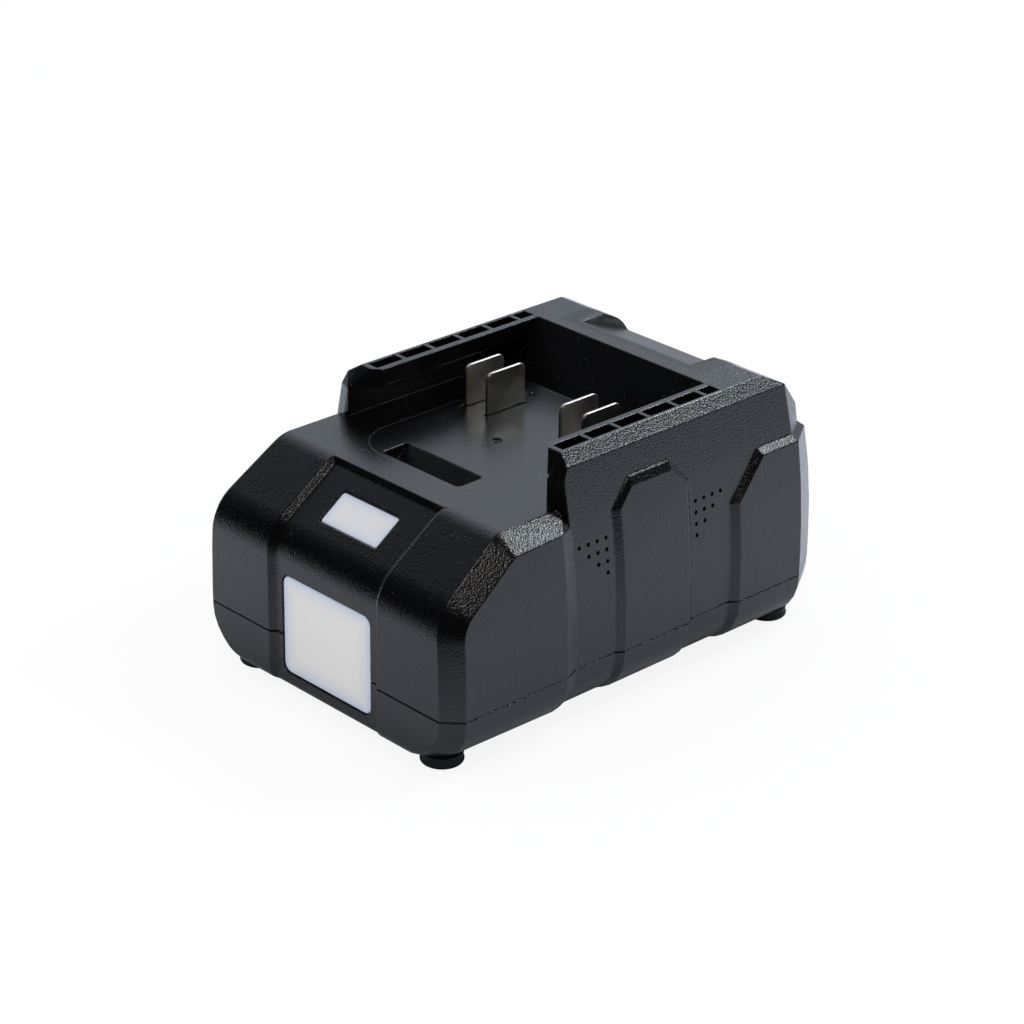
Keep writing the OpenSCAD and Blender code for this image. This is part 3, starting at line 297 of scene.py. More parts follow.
def corners_of(node):
    """Low and high corner of a solid's box."""
    return [np.array(corner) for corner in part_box(node)]


def stand_for(piece, node, material):
    """Gives a piece its material, hangs it under the root and hides the solid it stands for."""
    piece.data.materials.append(material)
    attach(piece, "root")
    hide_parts(node)


# ---- node groups ------------------------------------------------------------


def new_group(name, inputs, outputs):
    """An empty shader node group with named sockets: {name: (type, default)} in, {name: type} out."""
    group = bpy.data.node_groups.new(name, "ShaderNodeTree")
    for label, (kind, default) in inputs.items():
        socket = group.interface.new_socket(name=label, in_out="INPUT", socket_type=kind)
        if default is not None:
            socket.default_value = default
    for label, kind in outputs.items():
        group.interface.new_socket(name=label, in_out="OUTPUT", socket_type=kind)
    return group, group.nodes.new("NodeGroupInput"), group.nodes.new("NodeGroupOutput")


def wire(tree, kind, settings=None, **sockets):
    """Adds a node; a socket takes a number, a colour or another node's output."""
    node = tree.nodes.new(kind)
    for key, value in (settings or {}).items():
        setattr(node, key, value)
    for key, value in sockets.items():
        socket = node.inputs[int(key[1:])] if key[1:].isdigit() else node.inputs[key.replace("_", " ")]
        if isinstance(value, bpy.types.NodeSocket):
            tree.links.new(value, socket)
        else:
            socket.default_value = value
    return node


def calc(tree, operation, a, b=0.0, c=None, clamp=False):
    """One Math node; gives its output socket."""
    sockets = {"_0": a, "_1": b}
    if c is not None:
        sockets["_2"] = c
    return wire(tree, "ShaderNodeMath", {"operation": operation, "use_clamp": clamp}, **sockets).outputs[0]


def parts_of(tree, vector):
    """The x, y and z of a vector."""
    return wire(tree, "ShaderNodeSeparateXYZ", None, _0=vector).outputs


def along(tree, vector, way):
    """How far a vector reaches along a direction: their dot product."""
    dot = wire(tree, "ShaderNodeVectorMath", {"operation": "DOT_PRODUCT"}, _0=vector, _1=way)
    return dot.outputs["Value"]


def ramp(tree, value, low, high, first, last):
    """A smooth step from the first number to the last while the value goes from low to high."""
    return wire(tree, "ShaderNodeMapRange", {"interpolation_type": "SMOOTHSTEP"}, Value=value, From_Min=low,
                From_Max=high, To_Min=first, To_Max=last).outputs[0]


def blend(tree, factor, first, second):
    """A colour between two others, each a plain colour or another node's output."""
    return wire(tree, "ShaderNodeMix", {"data_type": "RGBA"}, _0=factor, _6=first, _7=second).outputs[2]


def between(tree, factor, first, second):
    """A number between two others, each a plain number or another node's output."""
    return wire(tree, "ShaderNodeMix", {"data_type": "FLOAT"}, _0=factor, _2=first, _3=second).outputs[0]


def coordinate(tree, kind):
    """A texture coordinate."""
    return tree.nodes.new("ShaderNodeTexCoord").outputs[kind]


def grain_group():
    """Spark-eroded grain: round pebbles (one less the smoothed distance to the nearest scattered point),
    roughened by fine noise, plus a broad slow swell."""
    group, start, end = new_group(
        "Moulded grain", {"Place": ("NodeSocketVector", None), "Scale": ("NodeSocketFloat", 2200.0),
                          "Swell": ("NodeSocketFloat", 0.3)},
        {"Height": "NodeSocketFloat"})
    place, scale = start.outputs["Place"], start.outputs["Scale"]
    pebble = wire(group, "ShaderNodeTexVoronoi", {"feature": "SMOOTH_F1"}, Vector=place, Scale=scale,
                  Smoothness=0.35, Randomness=1.0)
    fine = wire(group, "ShaderNodeTexNoise", None, Vector=place, Scale=calc(group, "MULTIPLY", scale, 1.9),
                Detail=2.0, Roughness=0.55)
    slow = wire(group, "ShaderNodeTexNoise", None, Vector=place, Scale=calc(group, "MULTIPLY", scale, 0.06),
                Detail=1.0)
    round_tops = calc(group, "SUBTRACT", 1.0, pebble.outputs["Distance"])
    rough_tops = calc(group, "MULTIPLY_ADD", fine.outputs[0], 0.55, round_tops)
    height = calc(group, "MULTIPLY_ADD", slow.outputs[0], start.outputs["Swell"], rough_tops)
    group.links.new(height, end.inputs["Height"])
    return group


def tone_group():
    """Uneven tone: the colour times one plus a slow noise, so no area is a single flat colour."""
    group, start, end = new_group(
        "Uneven tone",
        {"Colour": ("NodeSocketColor", (0.5, 0.5, 0.5, 1)), "Place": ("NodeSocketVector", None),
         "Scale": ("NodeSocketFloat", 40.0), "Amount": ("NodeSocketFloat", 0.1),
         "Roughness": ("NodeSocketFloat", 0.5), "Spread": ("NodeSocketFloat", 0.05)},
        {"Colour": "NodeSocketColor", "Roughness": "NodeSocketFloat"})
    noise = wire(group, "ShaderNodeTexNoise", None, Vector=start.outputs["Place"],
                 Scale=start.outputs["Scale"], Detail=4.0)
    swing = calc(group, "MULTIPLY_ADD", noise.outputs[0], 2.0, -1.0)
    factor = calc(group, "MULTIPLY_ADD", swing, start.outputs["Amount"], 1.0)
    tone = wire(group, "ShaderNodeVectorMath", {"operation": "SCALE"}, _0=start.outputs["Colour"],
                Scale=factor)
    group.links.new(tone.outputs[0], end.inputs["Colour"])
    group.links.new(calc(group, "MULTIPLY_ADD", swing, start.outputs["Spread"], start.outputs["Roughness"]),
                    end.inputs["Roughness"])
    return group


def edge_group():
    """Polished edges: less rough where the rounded normal leaves the face's own.

    The share is one minus the dot of the two normals, times a gain."""
    group, start, end = new_group(
        "Polished edges", {"Rounded": ("NodeSocketVector", None), "Roughness": ("NodeSocketFloat", 0.5),
                           "Polish": ("NodeSocketFloat", 0.15)},
        {"Roughness": "NodeSocketFloat"})
    face = group.nodes.new("ShaderNodeNewGeometry")
    dot = along(group, start.outputs["Rounded"], face.outputs["Normal"])
    mask = calc(group, "MULTIPLY", calc(group, "SUBTRACT", 1.0, dot), EDGE_GAIN, clamp=True)
    less = calc(group, "MULTIPLY", mask, start.outputs["Polish"])
    group.links.new(calc(group, "SUBTRACT", start.outputs["Roughness"], less), end.inputs["Roughness"])
    return group


def dust_group():
    """Dust: a veil on faces that look up, broken up by noise, and single specks, which are the places
    within a small distance of one in a few of the scattered points; mixes a pale grey into the colour."""
    group, start, end = new_group(
        "Fine dust", {"Colour": ("NodeSocketColor", (0.5, 0.5, 0.5, 1)), "Place": ("NodeSocketVector", None),
                      "Amount": ("NodeSocketFloat", 0.02), "Specks": ("NodeSocketFloat", 0.3)},
        {"Colour": "NodeSocketColor"})
    face = group.nodes.new("ShaderNodeNewGeometry")
    noise = wire(group, "ShaderNodeTexNoise", None, Vector=start.outputs["Place"], Scale=260.0, Detail=6.0,
                 Roughness=0.7)
    patch = calc(group, "MULTIPLY_ADD", noise.outputs[0], 3.0, -1.1, clamp=True)
    rising = calc(group, "MAXIMUM", parts_of(group, face.outputs["Normal"])[2], 0.0)
    veil = calc(group, "MULTIPLY", calc(group, "MULTIPLY", rising, patch), start.outputs["Amount"])
    scattered = wire(group, "ShaderNodeTexVoronoi", {"feature": "F1"}, Vector=start.outputs["Place"],
                     Scale=520.0)
    speck = calc(group, "MULTIPLY_ADD", scattered.outputs["Distance"], -30.0, 3.0, clamp=True)
    chosen = wire(group, "ShaderNodeSeparateColor", None, _0=scattered.outputs["Color"])
    chosen = calc(group, "GREATER_THAN", chosen.outputs[0], 0.5)
    speck = calc(group, "MULTIPLY", calc(group, "MULTIPLY", speck, chosen),
                 calc(group, "MULTIPLY", rising, start.outputs["Specks"]))
    dusty = blend(group, calc(group, "MAXIMUM", veil, speck), start.outputs["Colour"], DUST_TONE)
    group.links.new(dusty, end.inputs["Colour"])
    return group


def bay_group():
    """Smooth bay: one inside the box of the bay and on the deck beside it, nought elsewhere.

    Each is a box, and the distance from one is the largest of the distances past its sides."""
    group, start, end = new_group("Smooth bay", {"Place": ("NodeSocketVector", None)},
                                  {"Mask": "NodeSocketFloat"})
    x, y, z = parts_of(group, start.outputs["Place"])

    def past(value, middle, half):
        """Distance past the side of a slab, from its middle and half width in millimetres."""
        away = calc(group, "ABSOLUTE", calc(group, "SUBTRACT", value, middle * MM))
        return calc(group, "SUBTRACT", away, half * MM)

    def outside(a, b, c):
        """Distance past a box, from the distances past its three slabs."""
        return calc(group, "MAXIMUM", calc(group, "MAXIMUM", a, b), c)

    bay = outside(past(x, 0, 36.6), past(y, 3.6, 30.4), past(z, 65, 6.6))
    deck = outside(past(z, DECK_LEVEL, 0.12), past(y, 0, 45.6), past(x, 0, 39.2))
    out = calc(group, "MINIMUM", bay, deck)
    mask = calc(group, "MULTIPLY_ADD", out, -2500.0, 0.5, clamp=True)
    group.links.new(mask, end.inputs["Mask"])
    return group


def witness_group():
    """Witness line: the front half of a rounded rectangle on the deck, found by its signed distance.

    The distance is the length of what lies past the inner corners, less the corner radius."""
    group, start, end = new_group("Witness line", {"Place": ("NodeSocketVector", None)},
                                  {"Mask": "NodeSocketFloat"})
    x, y, z = parts_of(group, start.outputs["Place"])
    over_x = calc(group, "SUBTRACT", calc(group, "ABSOLUTE", calc(group, "ADD", x, 0.9 * MM)), 12.2 * MM)
    over_y = calc(group, "SUBTRACT", calc(group, "ABSOLUTE", calc(group, "SUBTRACT", y, 4 * MM)), 28.5 * MM)
    square_x = calc(group, "POWER", calc(group, "MAXIMUM", over_x, 0.0), 2.0)
    square_y = calc(group, "POWER", calc(group, "MAXIMUM", over_y, 0.0), 2.0)
    outside = calc(group, "SQRT", calc(group, "ADD", square_x, square_y))
    inside = calc(group, "MINIMUM", calc(group, "MAXIMUM", over_x, over_y), 0.0)
    away = calc(group, "ABSOLUTE", calc(group, "SUBTRACT", calc(group, "ADD", outside, inside), 12.0 * MM))
    line = calc(group, "MULTIPLY_ADD", away, -6000.0, 1.2, clamp=True)
    off_deck = calc(group, "ABSOLUTE", calc(group, "SUBTRACT", z, DECK_LEVEL * MM))
    level = calc(group, "LESS_THAN", off_deck, 0.1 * MM)
    front = calc(group, "LESS_THAN", y, 4 * MM)
    group.links.new(calc(group, "MULTIPLY", line, calc(group, "MULTIPLY", level, front)), end.inputs["Mask"])
    return group


def places_group():
    """Places that are rounded in their own way: each is one inside a box and nought outside it.

    Soft is the top of the rear recess. Crisp holds the small marks: the side dimples, the
    pole signs and the gate mark."""
    group, start, end = new_group("Rounding places", {"Place": ("NodeSocketVector", None)},
                                  {"Soft": "NodeSocketFloat", "Crisp": "NodeSocketFloat"})
    x, y, z = parts_of(group, start.outputs["Place"])

    def inside(value, low, high, mirrored=0.0):
        """One where the value, or its distance from the mirror place, is between low and high, in mm."""
        away = value
        if mirrored is not None:
            away = calc(group, "ABSOLUTE", calc(group, "SUBTRACT", value, mirrored * MM))
        off = calc(group, "ABSOLUTE", calc(group, "SUBTRACT", away, (low + high) / 2 * MM))
        return calc(group, "MULTIPLY_ADD", off, -800.0, 800 * (high - low) / 2 * MM + 0.5, clamp=True)

    def box(a, b, c):
        """One where all three are one."""
        return calc(group, "MULTIPLY", calc(group, "MULTIPLY", a, b), c)

    soft = box(inside(x, -26, 26), inside(y, 37.5, 70, None), inside(z, 57, 74, None))
    dimples = box(inside(x, 43, 48), inside(y, 14.5, 26.5, 1.9), inside(z, 38, 50.2, None))
    signs = box(inside(x, 12.5, 18.5), inside(y, 14.5, 20.5, None), inside(z, 57.5, 59, None))
    gate = box(inside(x, -2.6, 2.6, None), inside(y, -12, -6.8, None), inside(z, 57.5, 59, None))
    group.links.new(soft, end.inputs["Soft"])
    group.links.new(calc(group, "MAXIMUM", calc(group, "MAXIMUM", dimples, signs), gate), end.inputs["Crisp"])
    return group


GROUPS = {}


def group_node(tree, name, **sockets):
    """Places a shared node group in a material."""
    makers = {"Moulded grain": grain_group, "Uneven tone": tone_group, "Polished edges": edge_group,
              "Fine dust": dust_group, "Smooth bay": bay_group, "Witness line": witness_group,
              "Rounding places": places_group}
    if name not in GROUPS:
        GROUPS[name] = makers[name]()
    return wire(tree, "ShaderNodeGroup", {"node_tree": GROUPS[name]}, **sockets)


# ---- materials --------------------------------------------------------------


def finish(name, colour, roughness, grain=2200.0, depth=0.00002, swell=0.3, tone=(40.0, 0.1), spread=0.05,
           dust=0.0, specks=0.0, radius=0.0, soft=0.0, polish=0.15, smooth=None, rim=None, plain=None):
    """A material: uneven tone, dust, grain as bump, and rounded, slightly polished edges.

    `tone` is the scale and the amount of the uneven tone. `radius` rounds the edges, and `soft` is added to
    it, and to the roughness in part, at the top of the rear recess. `smooth` is the share of the grain and
    the roughness in the bay. `rim` is a darker, bluer colour blended in near the edge of a piece that has
    `depth_in`: painted shade. `plain` holds plain numbers for the shader."""
    material = bpy.data.materials.new(name)
    material.use_nodes = True
    tree = material.node_tree
    shader = tree.nodes["Principled BSDF"]
    for key, value in (plain or {}).items():
        shader.inputs[key].default_value = value
    place = coordinate(tree, "Object")
    toned = group_node(tree, "Uneven tone", Colour=(*colour, 1), Place=place, Scale=tone[0], Amount=tone[1],
                       Roughness=roughness, Spread=spread)
    colour_out, rough_out = toned.outputs["Colour"], toned.outputs["Roughness"]
    # painted shade: where depth_in is low, near the edge, the colour turns to the darker, bluer rim colour
    if rim:
        depth_in = wire(tree, "ShaderNodeAttribute", {"attribute_name": "depth_in"}).outputs["Fac"]
        colour_out = blend(tree, depth_in, (*rim, 1), colour_out)
    if dust:
        colour_out = group_node(tree, "Fine dust", Colour=colour_out, Place=place, Amount=dust,
                                Specks=specks).outputs["Colour"]
    height = group_node(tree, "Moulded grain", Place=place, Scale=grain, Swell=swell).outputs["Height"]
    if smooth:
        bay = group_node(tree, "Smooth bay", Place=place).outputs["Mask"]
        height = calc(tree, "MULTIPLY", height, calc(tree, "MULTIPLY_ADD", bay, smooth[0] - 1.0, 1.0))
        line = group_node(tree, "Witness line", Place=place).outputs["Mask"]
        height = calc(tree, "MULTIPLY_ADD", line, WITNESS_RISE, height)
        colour_out = blend(tree, calc(tree, "MULTIPLY", line, WITNESS_SHOW), colour_out, WITNESS_TONE)
        rough_out = calc(tree, "MULTIPLY_ADD", bay, smooth[1] - roughness, rough_out)
    bump = wire(tree, "ShaderNodeBump", None, Strength=1.0, Distance=depth, Height=height)
    if radius:
        if soft:
            spots = group_node(tree, "Rounding places", Place=place)
            radius = calc(tree, "MULTIPLY_ADD", spots.outputs["Crisp"], CRISP_RADIUS - radius, radius)
            radius = calc(tree, "MULTIPLY_ADD", spots.outputs["Soft"], soft, radius)
            rough_out = calc(tree, "MULTIPLY_ADD", spots.outputs["Soft"], 0.2, rough_out)
        rounded = wire(tree, "ShaderNodeBevel", {"samples": 8}, Radius=radius).outputs[0]
        tree.links.new(rounded, bump.inputs["Normal"])
        rough_out = group_node(tree, "Polished edges", Rounded=rounded, Roughness=rough_out,
                               Polish=polish).outputs["Roughness"]
    tree.links.new(colour_out, shader.inputs["Base Color"])
    tree.links.new(rough_out, shader.inputs["Roughness"])
    tree.links.new(bump.outputs[0], shader.inputs["Normal"])
    return material


# ---- operators --------------------------------------------------------------


class CHARGER_OT_case(bpy.types.Operator):
    """Builds both case halves"""

    bl_idname = "charger.case"
    bl_label = "Case halves"

    def execute(self, context):
        settings = context.scene.charger_case
        material = finish("case_black", settings.plastic, 0.21, grain=2000.0, depth=settings.grain_depth,
                          tone=(55.0, 0.08), dust=0.003, specks=0.12, radius=settings.edge_radius,
                          soft=settings.soft_radius, polish=0.12, smooth=(0.15, 0.24))
        for node, name, shift, angle in (("upper_case", "case_top", 0.5, 11.0),
                                         ("lower_case", "case_bottom", -0.5, 15.5)):
            piece = merged_copy(node, name)
            open_seam(piece, SEAM_LEVEL * MM, shift * settings.seam_gap)
            shade_smooth(piece, angle)
            stand_for(piece, node, material)
        return {"FINISHED"}


class CHARGER_OT_lights(bpy.types.Operator):
    """Builds the milky front lens and the status window"""

    bl_idname = "charger.lights"
    bl_label = "Lens and window"

    def execute(self, context):
        settings = context.scene.charger_lights
        material = finish("diffuser_white", settings.diffuser, 0.34, grain=900.0, depth=0.000004,
                          tone=(70.0, 0.03), spread=0.03, rim=settings.rim,
                          plain={"Subsurface Weight": 0.25, "Subsurface Scale": 0.002,
                                 "Subsurface Radius": (1.0, 1.0, 1.1)})
        edge, crown = settings.edge_radius, settings.crown
        inset, height = quarter_round(edge)
        # lens: flat back, wall, rounded rim, then a face that swells as one minus the square of the way in
        front = corners_of("front_lens")[0][1]
        half_w, half_h, corner, thick, level = (size * MM for size in (16.5, 13.5, 2.6, 4, 20.4))
        fall = np.linspace(0, 1, 9)[1:]
        rings = rounded_plate(half_w, half_h, [corner] * 4,
                              np.r_[half_h, 0, inset, edge + fall * (half_h - edge)],
                              np.r_[-thick, -thick, height, crown * (1 - (1 - fall) ** 2)])
        rings = placed(rings, (0, front + crown, level), (1, 0, 0), (0, 0, 1), (0, -1, 0))
        # depth_in is nought at the rim and grows inwards, so the painted shade of the rim colour darkens the
        # lens near its edge
        depth_in = np.r_[0, 0, 0 * inset, 0.35 + 0.65 * np.minimum(1, fall * 2.6)]
        stand_for(surface("front_lens_face", rings, depth_in=depth_in), "front_lens",
                  material)
        # window: the same plate with a finer rim, laid on the slope, a little below the sunken panel's face
        slope = np.radians(34.5)
        up, out = (0, np.cos(slope), np.sin(slope)), (0, -np.sin(slope), np.cos(slope))
        half_w, half_h, corner, thick, below = (size * MM for size in (10.4, 4.8, 0.9, 2, 0.25))
        fine = 0.6
        rings = rounded_plate(half_w, half_h, [corner] * 4,
                              np.r_[half_h, 0, inset * fine, fine * edge + fall * (half_h - fine * edge)],
                              np.r_[-thick, -thick, height * fine, fall * 0])
        from_crest, panel_depth = 8.4, 1.4
        drop = from_crest * np.tan(slope) + panel_depth / np.cos(slope)
        centre = np.array((0, -54.9, DECK_LEVEL - drop)) * MM
        centre -= np.array(out) * below
        rings = placed(rings, centre, (1, 0, 0), up, out)
        # depth_in is nought at the rim and grows inwards, so the painted shade of the rim colour darkens the
        # window near its edge
        depth_in = np.r_[0, 0, 0 * inset, 0.3 + 0.4 * np.minimum(1, fall * 1.5)]
        stand_for(surface("status_window_face", rings, depth_in=depth_in), "charge_window",
                  material)
        return {"FINISHED"}


class CHARGER_OT_blades(bpy.types.Operator):
    """Builds the four contact blades"""

    bl_idname = "charger.blades"
    bl_label = "Contact blades"

    def execute(self, context):
        settings = context.scene.charger_blades
        material = finish("contact_nickel", settings.nickel, 0.3, grain=2200.0, depth=0.000004, swell=0.8,
                          tone=(300.0, 0.12), spread=0.06, dust=0.05, plain={"Metallic": 1.0})
        edge = settings.edge_radius
        for node in ("blade_outer_left", "blade_inner_left", "blade_inner_right", "blade_outer_right"):
            low, high = corners_of(node)
            half, middle = (high - low) / 2, (high + low) / 2
            inset, height = quarter_round(edge, 4)
            inset = np.r_[half[1], edge, inset[::-1], inset, edge, half[1]]
            height = np.r_[0, 0, height[::-1], -2 * half[0] - height, -2 * half[0], -2 * half[0]] + half[0]
            corner = settings.corner
            rings = rounded_plate(half[1], half[2], [corner, corner, 0.3 * MM, 0.3 * MM], inset, height, 8)
            rings = placed(rings, middle, (0, 1, 0), (0, 0, 1), (1, 0, 0))
            stand_for(surface(node + "_plate", rings), node, material)
        return {"FINISHED"}


class CHARGER_OT_feet(bpy.types.Operator):
    """Builds the four rubber feet"""

    bl_idname = "charger.feet"
    bl_label = "Rubber feet"

    def execute(self, context):
        settings = context.scene.charger_feet
        material = finish("rubber_black", settings.rubber, 0.36, grain=1500.0, depth=0.00001,
                          tone=(200.0, 0.15), dust=0.01, plain={"Specular IOR Level": 0.25})
        rim = settings.rim_radius
        sides = 48
        turn = np.linspace(-np.pi / 2, 0, 7)
        angle = np.linspace(0, 2 * np.pi, sides, endpoint=False)
        for node in ("foot_front_left", "foot_front_right", "foot_rear_left", "foot_rear_right"):
            low, high = corners_of(node)
            centre, reach = (low + high) / 2, (high[0] - low[0]) / 2
            # profile (radius, height): flat sole, rounded rim, wall with a slight waist, flat top
            top, waist = 3.2 * MM, 0.25 * MM
            wall = np.linspace(0, 1, 7)[1:]
            radius = np.r_[0, reach - rim, reach - rim + rim * np.cos(turn),
                           reach - waist * np.sin(np.pi * wall), 0]
            height = np.r_[0, 0, rim + rim * np.sin(turn), rim + (top - rim) * wall, top]
            points = np.stack([centre[0] + radius[:, None] * np.cos(angle),
                               centre[1] + radius[:, None] * np.sin(angle),
                               np.broadcast_to(height[:, None], (len(radius), sides))], axis=-1)
            stand_for(surface(node + "_pad", points), node, material)
        return {"FINISHED"}


class CHARGER_OT_inside(bpy.types.Operator):
    """Gives every solid that stays as it is the finish of its material slot"""

    bl_idname = "charger.inside"
    bl_label = "Inside pieces"

    def execute(self, context):
        settings = context.scene.charger_inside
        metal = {"Metallic": 1.0}
        lacquer = {"Coat Weight": 0.6, "Coat Roughness": 0.1}
        made = {
            "moulding_black": finish("moulding_black", (0.008, 0.008, 0.009), 0.38, grain=1500.0,
                                     depth=0.00003, dust=0.003, radius=0.00025),
            "screw_steel": finish("screw_steel", (0.34, 0.335, 0.33), 0.3, grain=3000.0, depth=0.000004,
                                  tone=(400.0, 0.15), spread=0.08, radius=0.0001, plain=metal),
            "board_green": finish("board_green", settings.board, 0.34, grain=1250.0, depth=0.000012,
                                  swell=0.1, tone=(900.0, 0.12), plain=lacquer),
            "fuse_ceramic": finish("fuse_ceramic", (0.66, 0.62, 0.54), 0.3, grain=2400.0, depth=0.000008,
                                   tone=(500.0, 0.06), radius=0.0003),
            "ferrite_grey": finish("ferrite_grey", (0.035, 0.035, 0.038), 0.52, grain=2600.0, depth=0.00002,
                                   tone=(700.0, 0.2), radius=0.0003),
            "copper_wire": finish("copper_wire", settings.copper, 0.26, grain=1800.0, depth=0.00001,
                                  tone=(600.0, 0.18), spread=0.08, plain={**metal, **lacquer}),
            "winding_tape": finish("winding_tape", (0.70, 0.46, 0.03), 0.33, grain=700.0, depth=0.00001,
                                   tone=(260.0, 0.1), plain=lacquer),
            "capacitor_sleeve": finish("capacitor_sleeve", (0.012, 0.018, 0.05), 0.28, grain=900.0,
                                       depth=0.000008, tone=(300.0, 0.12), radius=0.0004, plain=lacquer),
            "sink_aluminium": finish("sink_aluminium", (0.60, 0.60, 0.61), 0.36, grain=2200.0, depth=0.000008,
                                     tone=(300.0, 0.1), spread=0.08, radius=0.0001, plain=metal),
            "chip_black": finish("chip_black", (0.012, 0.012, 0.013), 0.5, grain=3200.0, depth=0.00001,
                                 tone=(600.0, 0.15), radius=0.0001),
            "lamp_cream": finish("lamp_cream", (0.78, 0.70, 0.42), 0.24, grain=2000.0, depth=0.000004,
                                 tone=(900.0, 0.08), plain={"Subsurface Weight": 0.2,
                                                            "Subsurface Scale": 0.0005}),
            "light_box_white": finish("light_box_white", (0.78, 0.78, 0.77), 0.4, grain=1700.0,
                                      depth=0.00001, tone=(120.0, 0.03)),
            "lead_sheath": finish("lead_sheath", settings.leads, 0.38, grain=1200.0, depth=0.00001,
                                  tone=(200.0, 0.12), dust=0.01),
            "contact_nickel": finish("contact_nickel_pins", (0.56, 0.53, 0.48), 0.24, grain=2200.0,
                                     depth=0.000004, tone=(300.0, 0.12), plain=metal),
        }
        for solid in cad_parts.values():
            for place in solid.material_slots:
                if place.material.name in made:
                    place.material = made[place.material.name]
        return {"FINISHED"}


def add_camera(scene, lens):
    """The camera at its place, turned by an azimuth, an elevation and a roll in degrees."""
    azimuth, elevation, roll = np.radians([46.305, 25.440, 0.814])
    back = np.array([np.sin(azimuth) * np.cos(elevation), -np.cos(azimuth) * np.cos(elevation),
                     np.sin(elevation)])
    right = np.array([np.cos(azimuth), np.sin(azimuth), 0.0])
    up = np.cross(back, right)
    right, up = (np.cos(roll) * right + np.sin(roll) * up, np.cos(roll) * up - np.sin(roll) * right)
    data = bpy.data.cameras.new("camera")
    data.lens, data.sensor_width = lens, 36.0
    data.clip_start, data.clip_end = 0.01, 20
    camera = bpy.data.objects.new("camera", data)
    scene.collection.objects.link(camera)
    turn = Matrix(np.column_stack([right, up, back]).tolist()).to_4x4()
    camera.matrix_world = Matrix.Translation((0.51554, -0.49612, 0.37589)) @ turn
    scene.camera = camera


def add_floor(scene, settings):
    """A pale floor that takes the shadow, but is mostly plain white to the camera.

    In gloss it is bluish, with painted shade that darkens it towards the front and a painted shadow where it
    lies close to the object."""
    size = 3.0
    mesh = bpy.data.meshes.new("floor")
    mesh.from_pydata([(-size, -size, 0), (size, -size, 0), (size, size, 0), (-size, size, 0)], [],
                     [(0, 1, 2, 3)])
    floor = bpy.data.objects.new("floor", mesh)
    scene.collection.objects.link(floor)
    material = bpy.data.materials.new("floor")
    material.use_nodes = True
    tree = material.node_tree
    shader = tree.nodes["Principled BSDF"]
    shader.inputs["Roughness"].default_value = 0.9
    shader.inputs["Specular IOR Level"].default_value = 0.1
    glow = wire(tree, "ShaderNodeEmission", None, Color=(1, 1, 1, 1), Strength=1.0)
    rays = tree.nodes.new("ShaderNodeLightPath")
    gloss = rays.outputs["Is Glossy Ray"]
    place = coordinate(tree, "Object")
    # painted shade: in gloss the floor darkens towards the front
    front = ramp(tree, along(tree, place, (0.35, -0.94, 0.0)), 0.08, 0.22, 1.0, 0.06)
    spot = parts_of(tree, place)
    footprint = 47.5 * MM, 67.5 * MM
    over_x, over_y = (calc(tree, "SUBTRACT", calc(tree, "ABSOLUTE", spot[k]), footprint[k]) for k in (0, 1))
    # painted shadow: in gloss the floor darkens close to the object's footprint, as a contact shadow
    close = ramp(tree, calc(tree, "MAXIMUM", over_x, over_y), -0.005, 0.022, 0.6, 1.0)
    dim = between(tree, gloss, 1.0, calc(tree, "MULTIPLY", front, close))
    hue = blend(tree, gloss, (*settings.floor, 1), (0.84, 0.89, 1.0, 1))
    tone = wire(tree, "ShaderNodeVectorMath", {"operation": "SCALE"}, _0=hue, Scale=dim)
    tree.links.new(tone.outputs[0], shader.inputs["Base Color"])
    seen = calc(tree, "MULTIPLY", rays.outputs["Is Camera Ray"], settings.whiteness)
    mix = wire(tree, "ShaderNodeMixShader", None, _0=seen, _1=shader.outputs[0], _2=glow.outputs[0])
    tree.links.new(mix.outputs[0], tree.nodes["Material Output"].inputs["Surface"])
    material.cycles.emission_sampling = "NONE"
    mesh.materials.append(material)


def add_surroundings(scene, room):
    """A bright sweep behind on the left and a faint one on the right, in a dark room, seen by gloss alone.

    Everything else gets the soft light of an even room, and the camera sees plain white."""
    world = bpy.data.worlds.new("surroundings")
    world.use_nodes = True
    scene.world = world
    world.cycles.sampling_method = "NONE"
    tree = world.node_tree
    way = coordinate(tree, "Generated")
    sweep = ramp(tree, along(tree, way, (-0.72, 0.69, 0.0)), 0.15, 0.9, 0.012, 1.08)
    side = ramp(tree, along(tree, way, (0.75, 0.66, 0.0)), 0.55, 0.98, 0.0, 0.08)
    rise = ramp(tree, parts_of(tree, way)[2], 0.2, 0.42, 0.6, 1.0)
    sweep = calc(tree, "MAXIMUM", calc(tree, "MULTIPLY", sweep, rise), side)
    rays = tree.nodes.new("ShaderNodeLightPath")
    mirrored = calc(tree, "MAXIMUM", rays.outputs["Is Glossy Ray"], rays.outputs["Is Transmission Ray"])
    level = between(tree, rays.outputs["Is Camera Ray"], between(tree, mirrored, room, sweep), 1.0)
    background = tree.nodes["Background"]
    tint = blend(tree, mirrored, (1, 1, 1, 1), (0.86, 0.93, 1.08, 1))
    tree.links.new(tint, background.inputs["Color"])
    tree.links.new(level, background.inputs["Strength"])


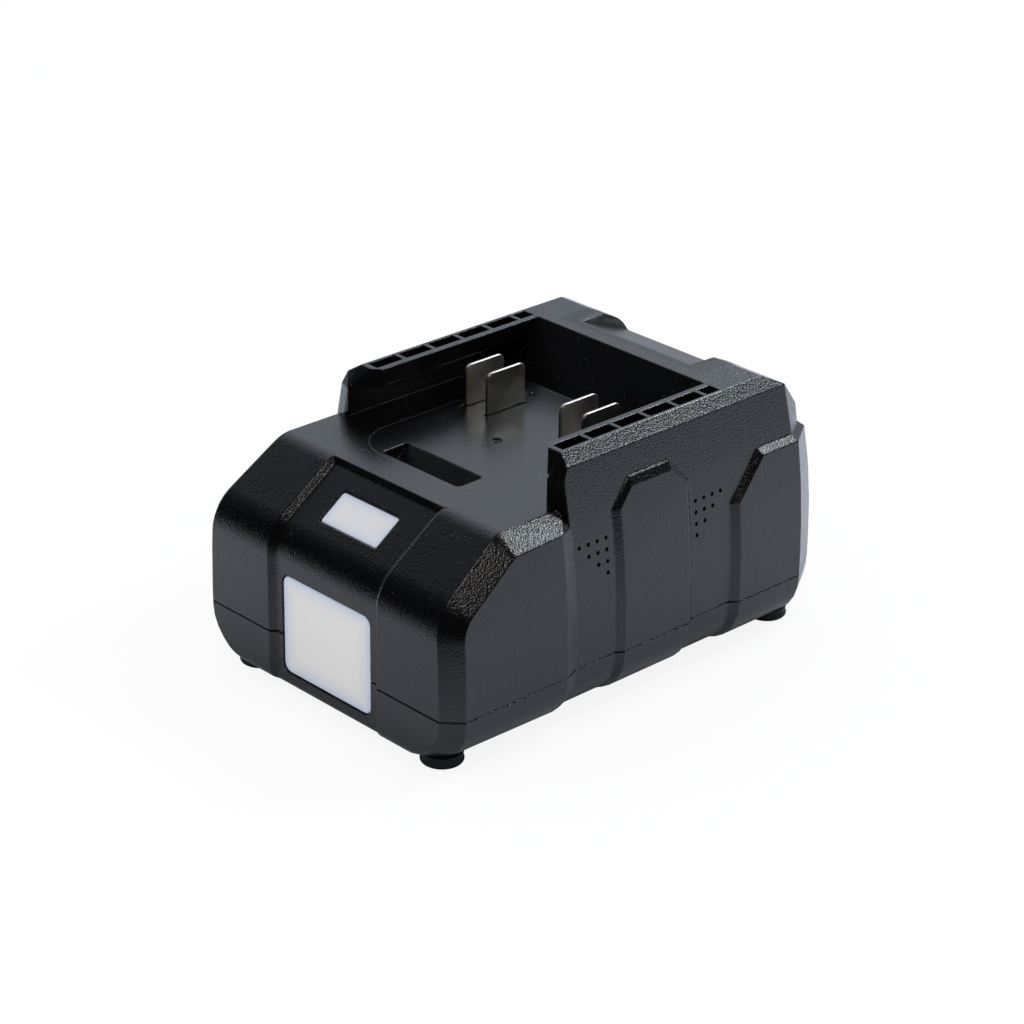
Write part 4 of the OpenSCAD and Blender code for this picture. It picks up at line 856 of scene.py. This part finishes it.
def add_lamps(scene, settings):
    """Four square lamps aimed at the object: place, side length, watts and colour of each.

    The fill shows in no gloss; the rim and the glint show in gloss alone."""
    cool, warm = (0.88, 0.95, 1.0), (1.0, 0.95, 0.92)
    for name, place, reach, watts, colour in (
            ("key", (0.36, 0.6, 0.72), 0.2, settings.key, cool),
            ("rim", (-0.32, 0.69, 0.645), 0.14, settings.rim, cool),
            ("glint", (0.4, -0.27, 0.87), 0.22, settings.glint, warm),
            ("fill", (-0.55, -0.85, 0.75), 0.6, settings.fill, cool)):
        data = bpy.data.lights.new(name, "AREA")
        data.shape, data.size, data.energy = "SQUARE", reach, watts
        data.color = colour
        lamp = bpy.data.objects.new(name, data)
        scene.collection.objects.link(lamp)
        aim = (Vector((0, 0, 0.03)) - Vector(place)).to_track_quat("-Z", "Y")
        lamp.matrix_world = Matrix.Translation(place) @ aim.to_matrix().to_4x4()
        lamp.visible_glossy = name != "fill"
        lamp.visible_diffuse = name in ("key", "fill")


class CHARGER_OT_stage(bpy.types.Operator):
    """Builds the camera, the floor and the studio light"""

    bl_idname = "charger.stage"
    bl_label = "Camera, floor and light"

    def execute(self, context):
        settings = context.scene.charger_stage
        scene = context.scene
        scene.view_settings.view_transform = "Standard"
        add_camera(scene, settings.lens)
        add_floor(scene, settings)
        add_surroundings(scene, settings.room)
        add_lamps(scene, settings)
        return {"FINISHED"}


class CHARGER_PT_panel(bpy.types.Panel):
    """Buttons for the charger's pieces"""

    bl_label = "Battery charger"
    bl_idname = "CHARGER_PT_panel"
    bl_space_type = "VIEW_3D"
    bl_region_type = "UI"
    bl_category = "Charger"

    def draw(self, context):
        for operator in OPERATORS:
            self.layout.operator(operator.bl_idname)


OPERATORS = (CHARGER_OT_stage, CHARGER_OT_case, CHARGER_OT_lights, CHARGER_OT_blades, CHARGER_OT_feet,
             CHARGER_OT_inside)
SETTINGS = {"charger_case": ChargerCaseSettings, "charger_lights": ChargerLightSettings,
            "charger_blades": ChargerBladeSettings, "charger_feet": ChargerFootSettings,
            "charger_inside": ChargerInsideSettings,
            "charger_stage": ChargerStageSettings}


def register():
    for name, group in SETTINGS.items():
        bpy.utils.register_class(group)
        setattr(bpy.types.Scene, name, bpy.props.PointerProperty(type=group))
    for cls in (*OPERATORS, CHARGER_PT_panel):
        bpy.utils.register_class(cls)


def unregister():
    for cls in reversed((*OPERATORS, CHARGER_PT_panel)):
        bpy.utils.unregister_class(cls)
    for name, group in SETTINGS.items():
        delattr(bpy.types.Scene, name)
        bpy.utils.unregister_class(group)


def main():
    register()
    bpy.ops.charger.stage()
    bpy.ops.charger.case()
    bpy.ops.charger.lights()
    bpy.ops.charger.blades()
    bpy.ops.charger.feet()
    bpy.ops.charger.inside()


if __name__ == "__main__":
    main()
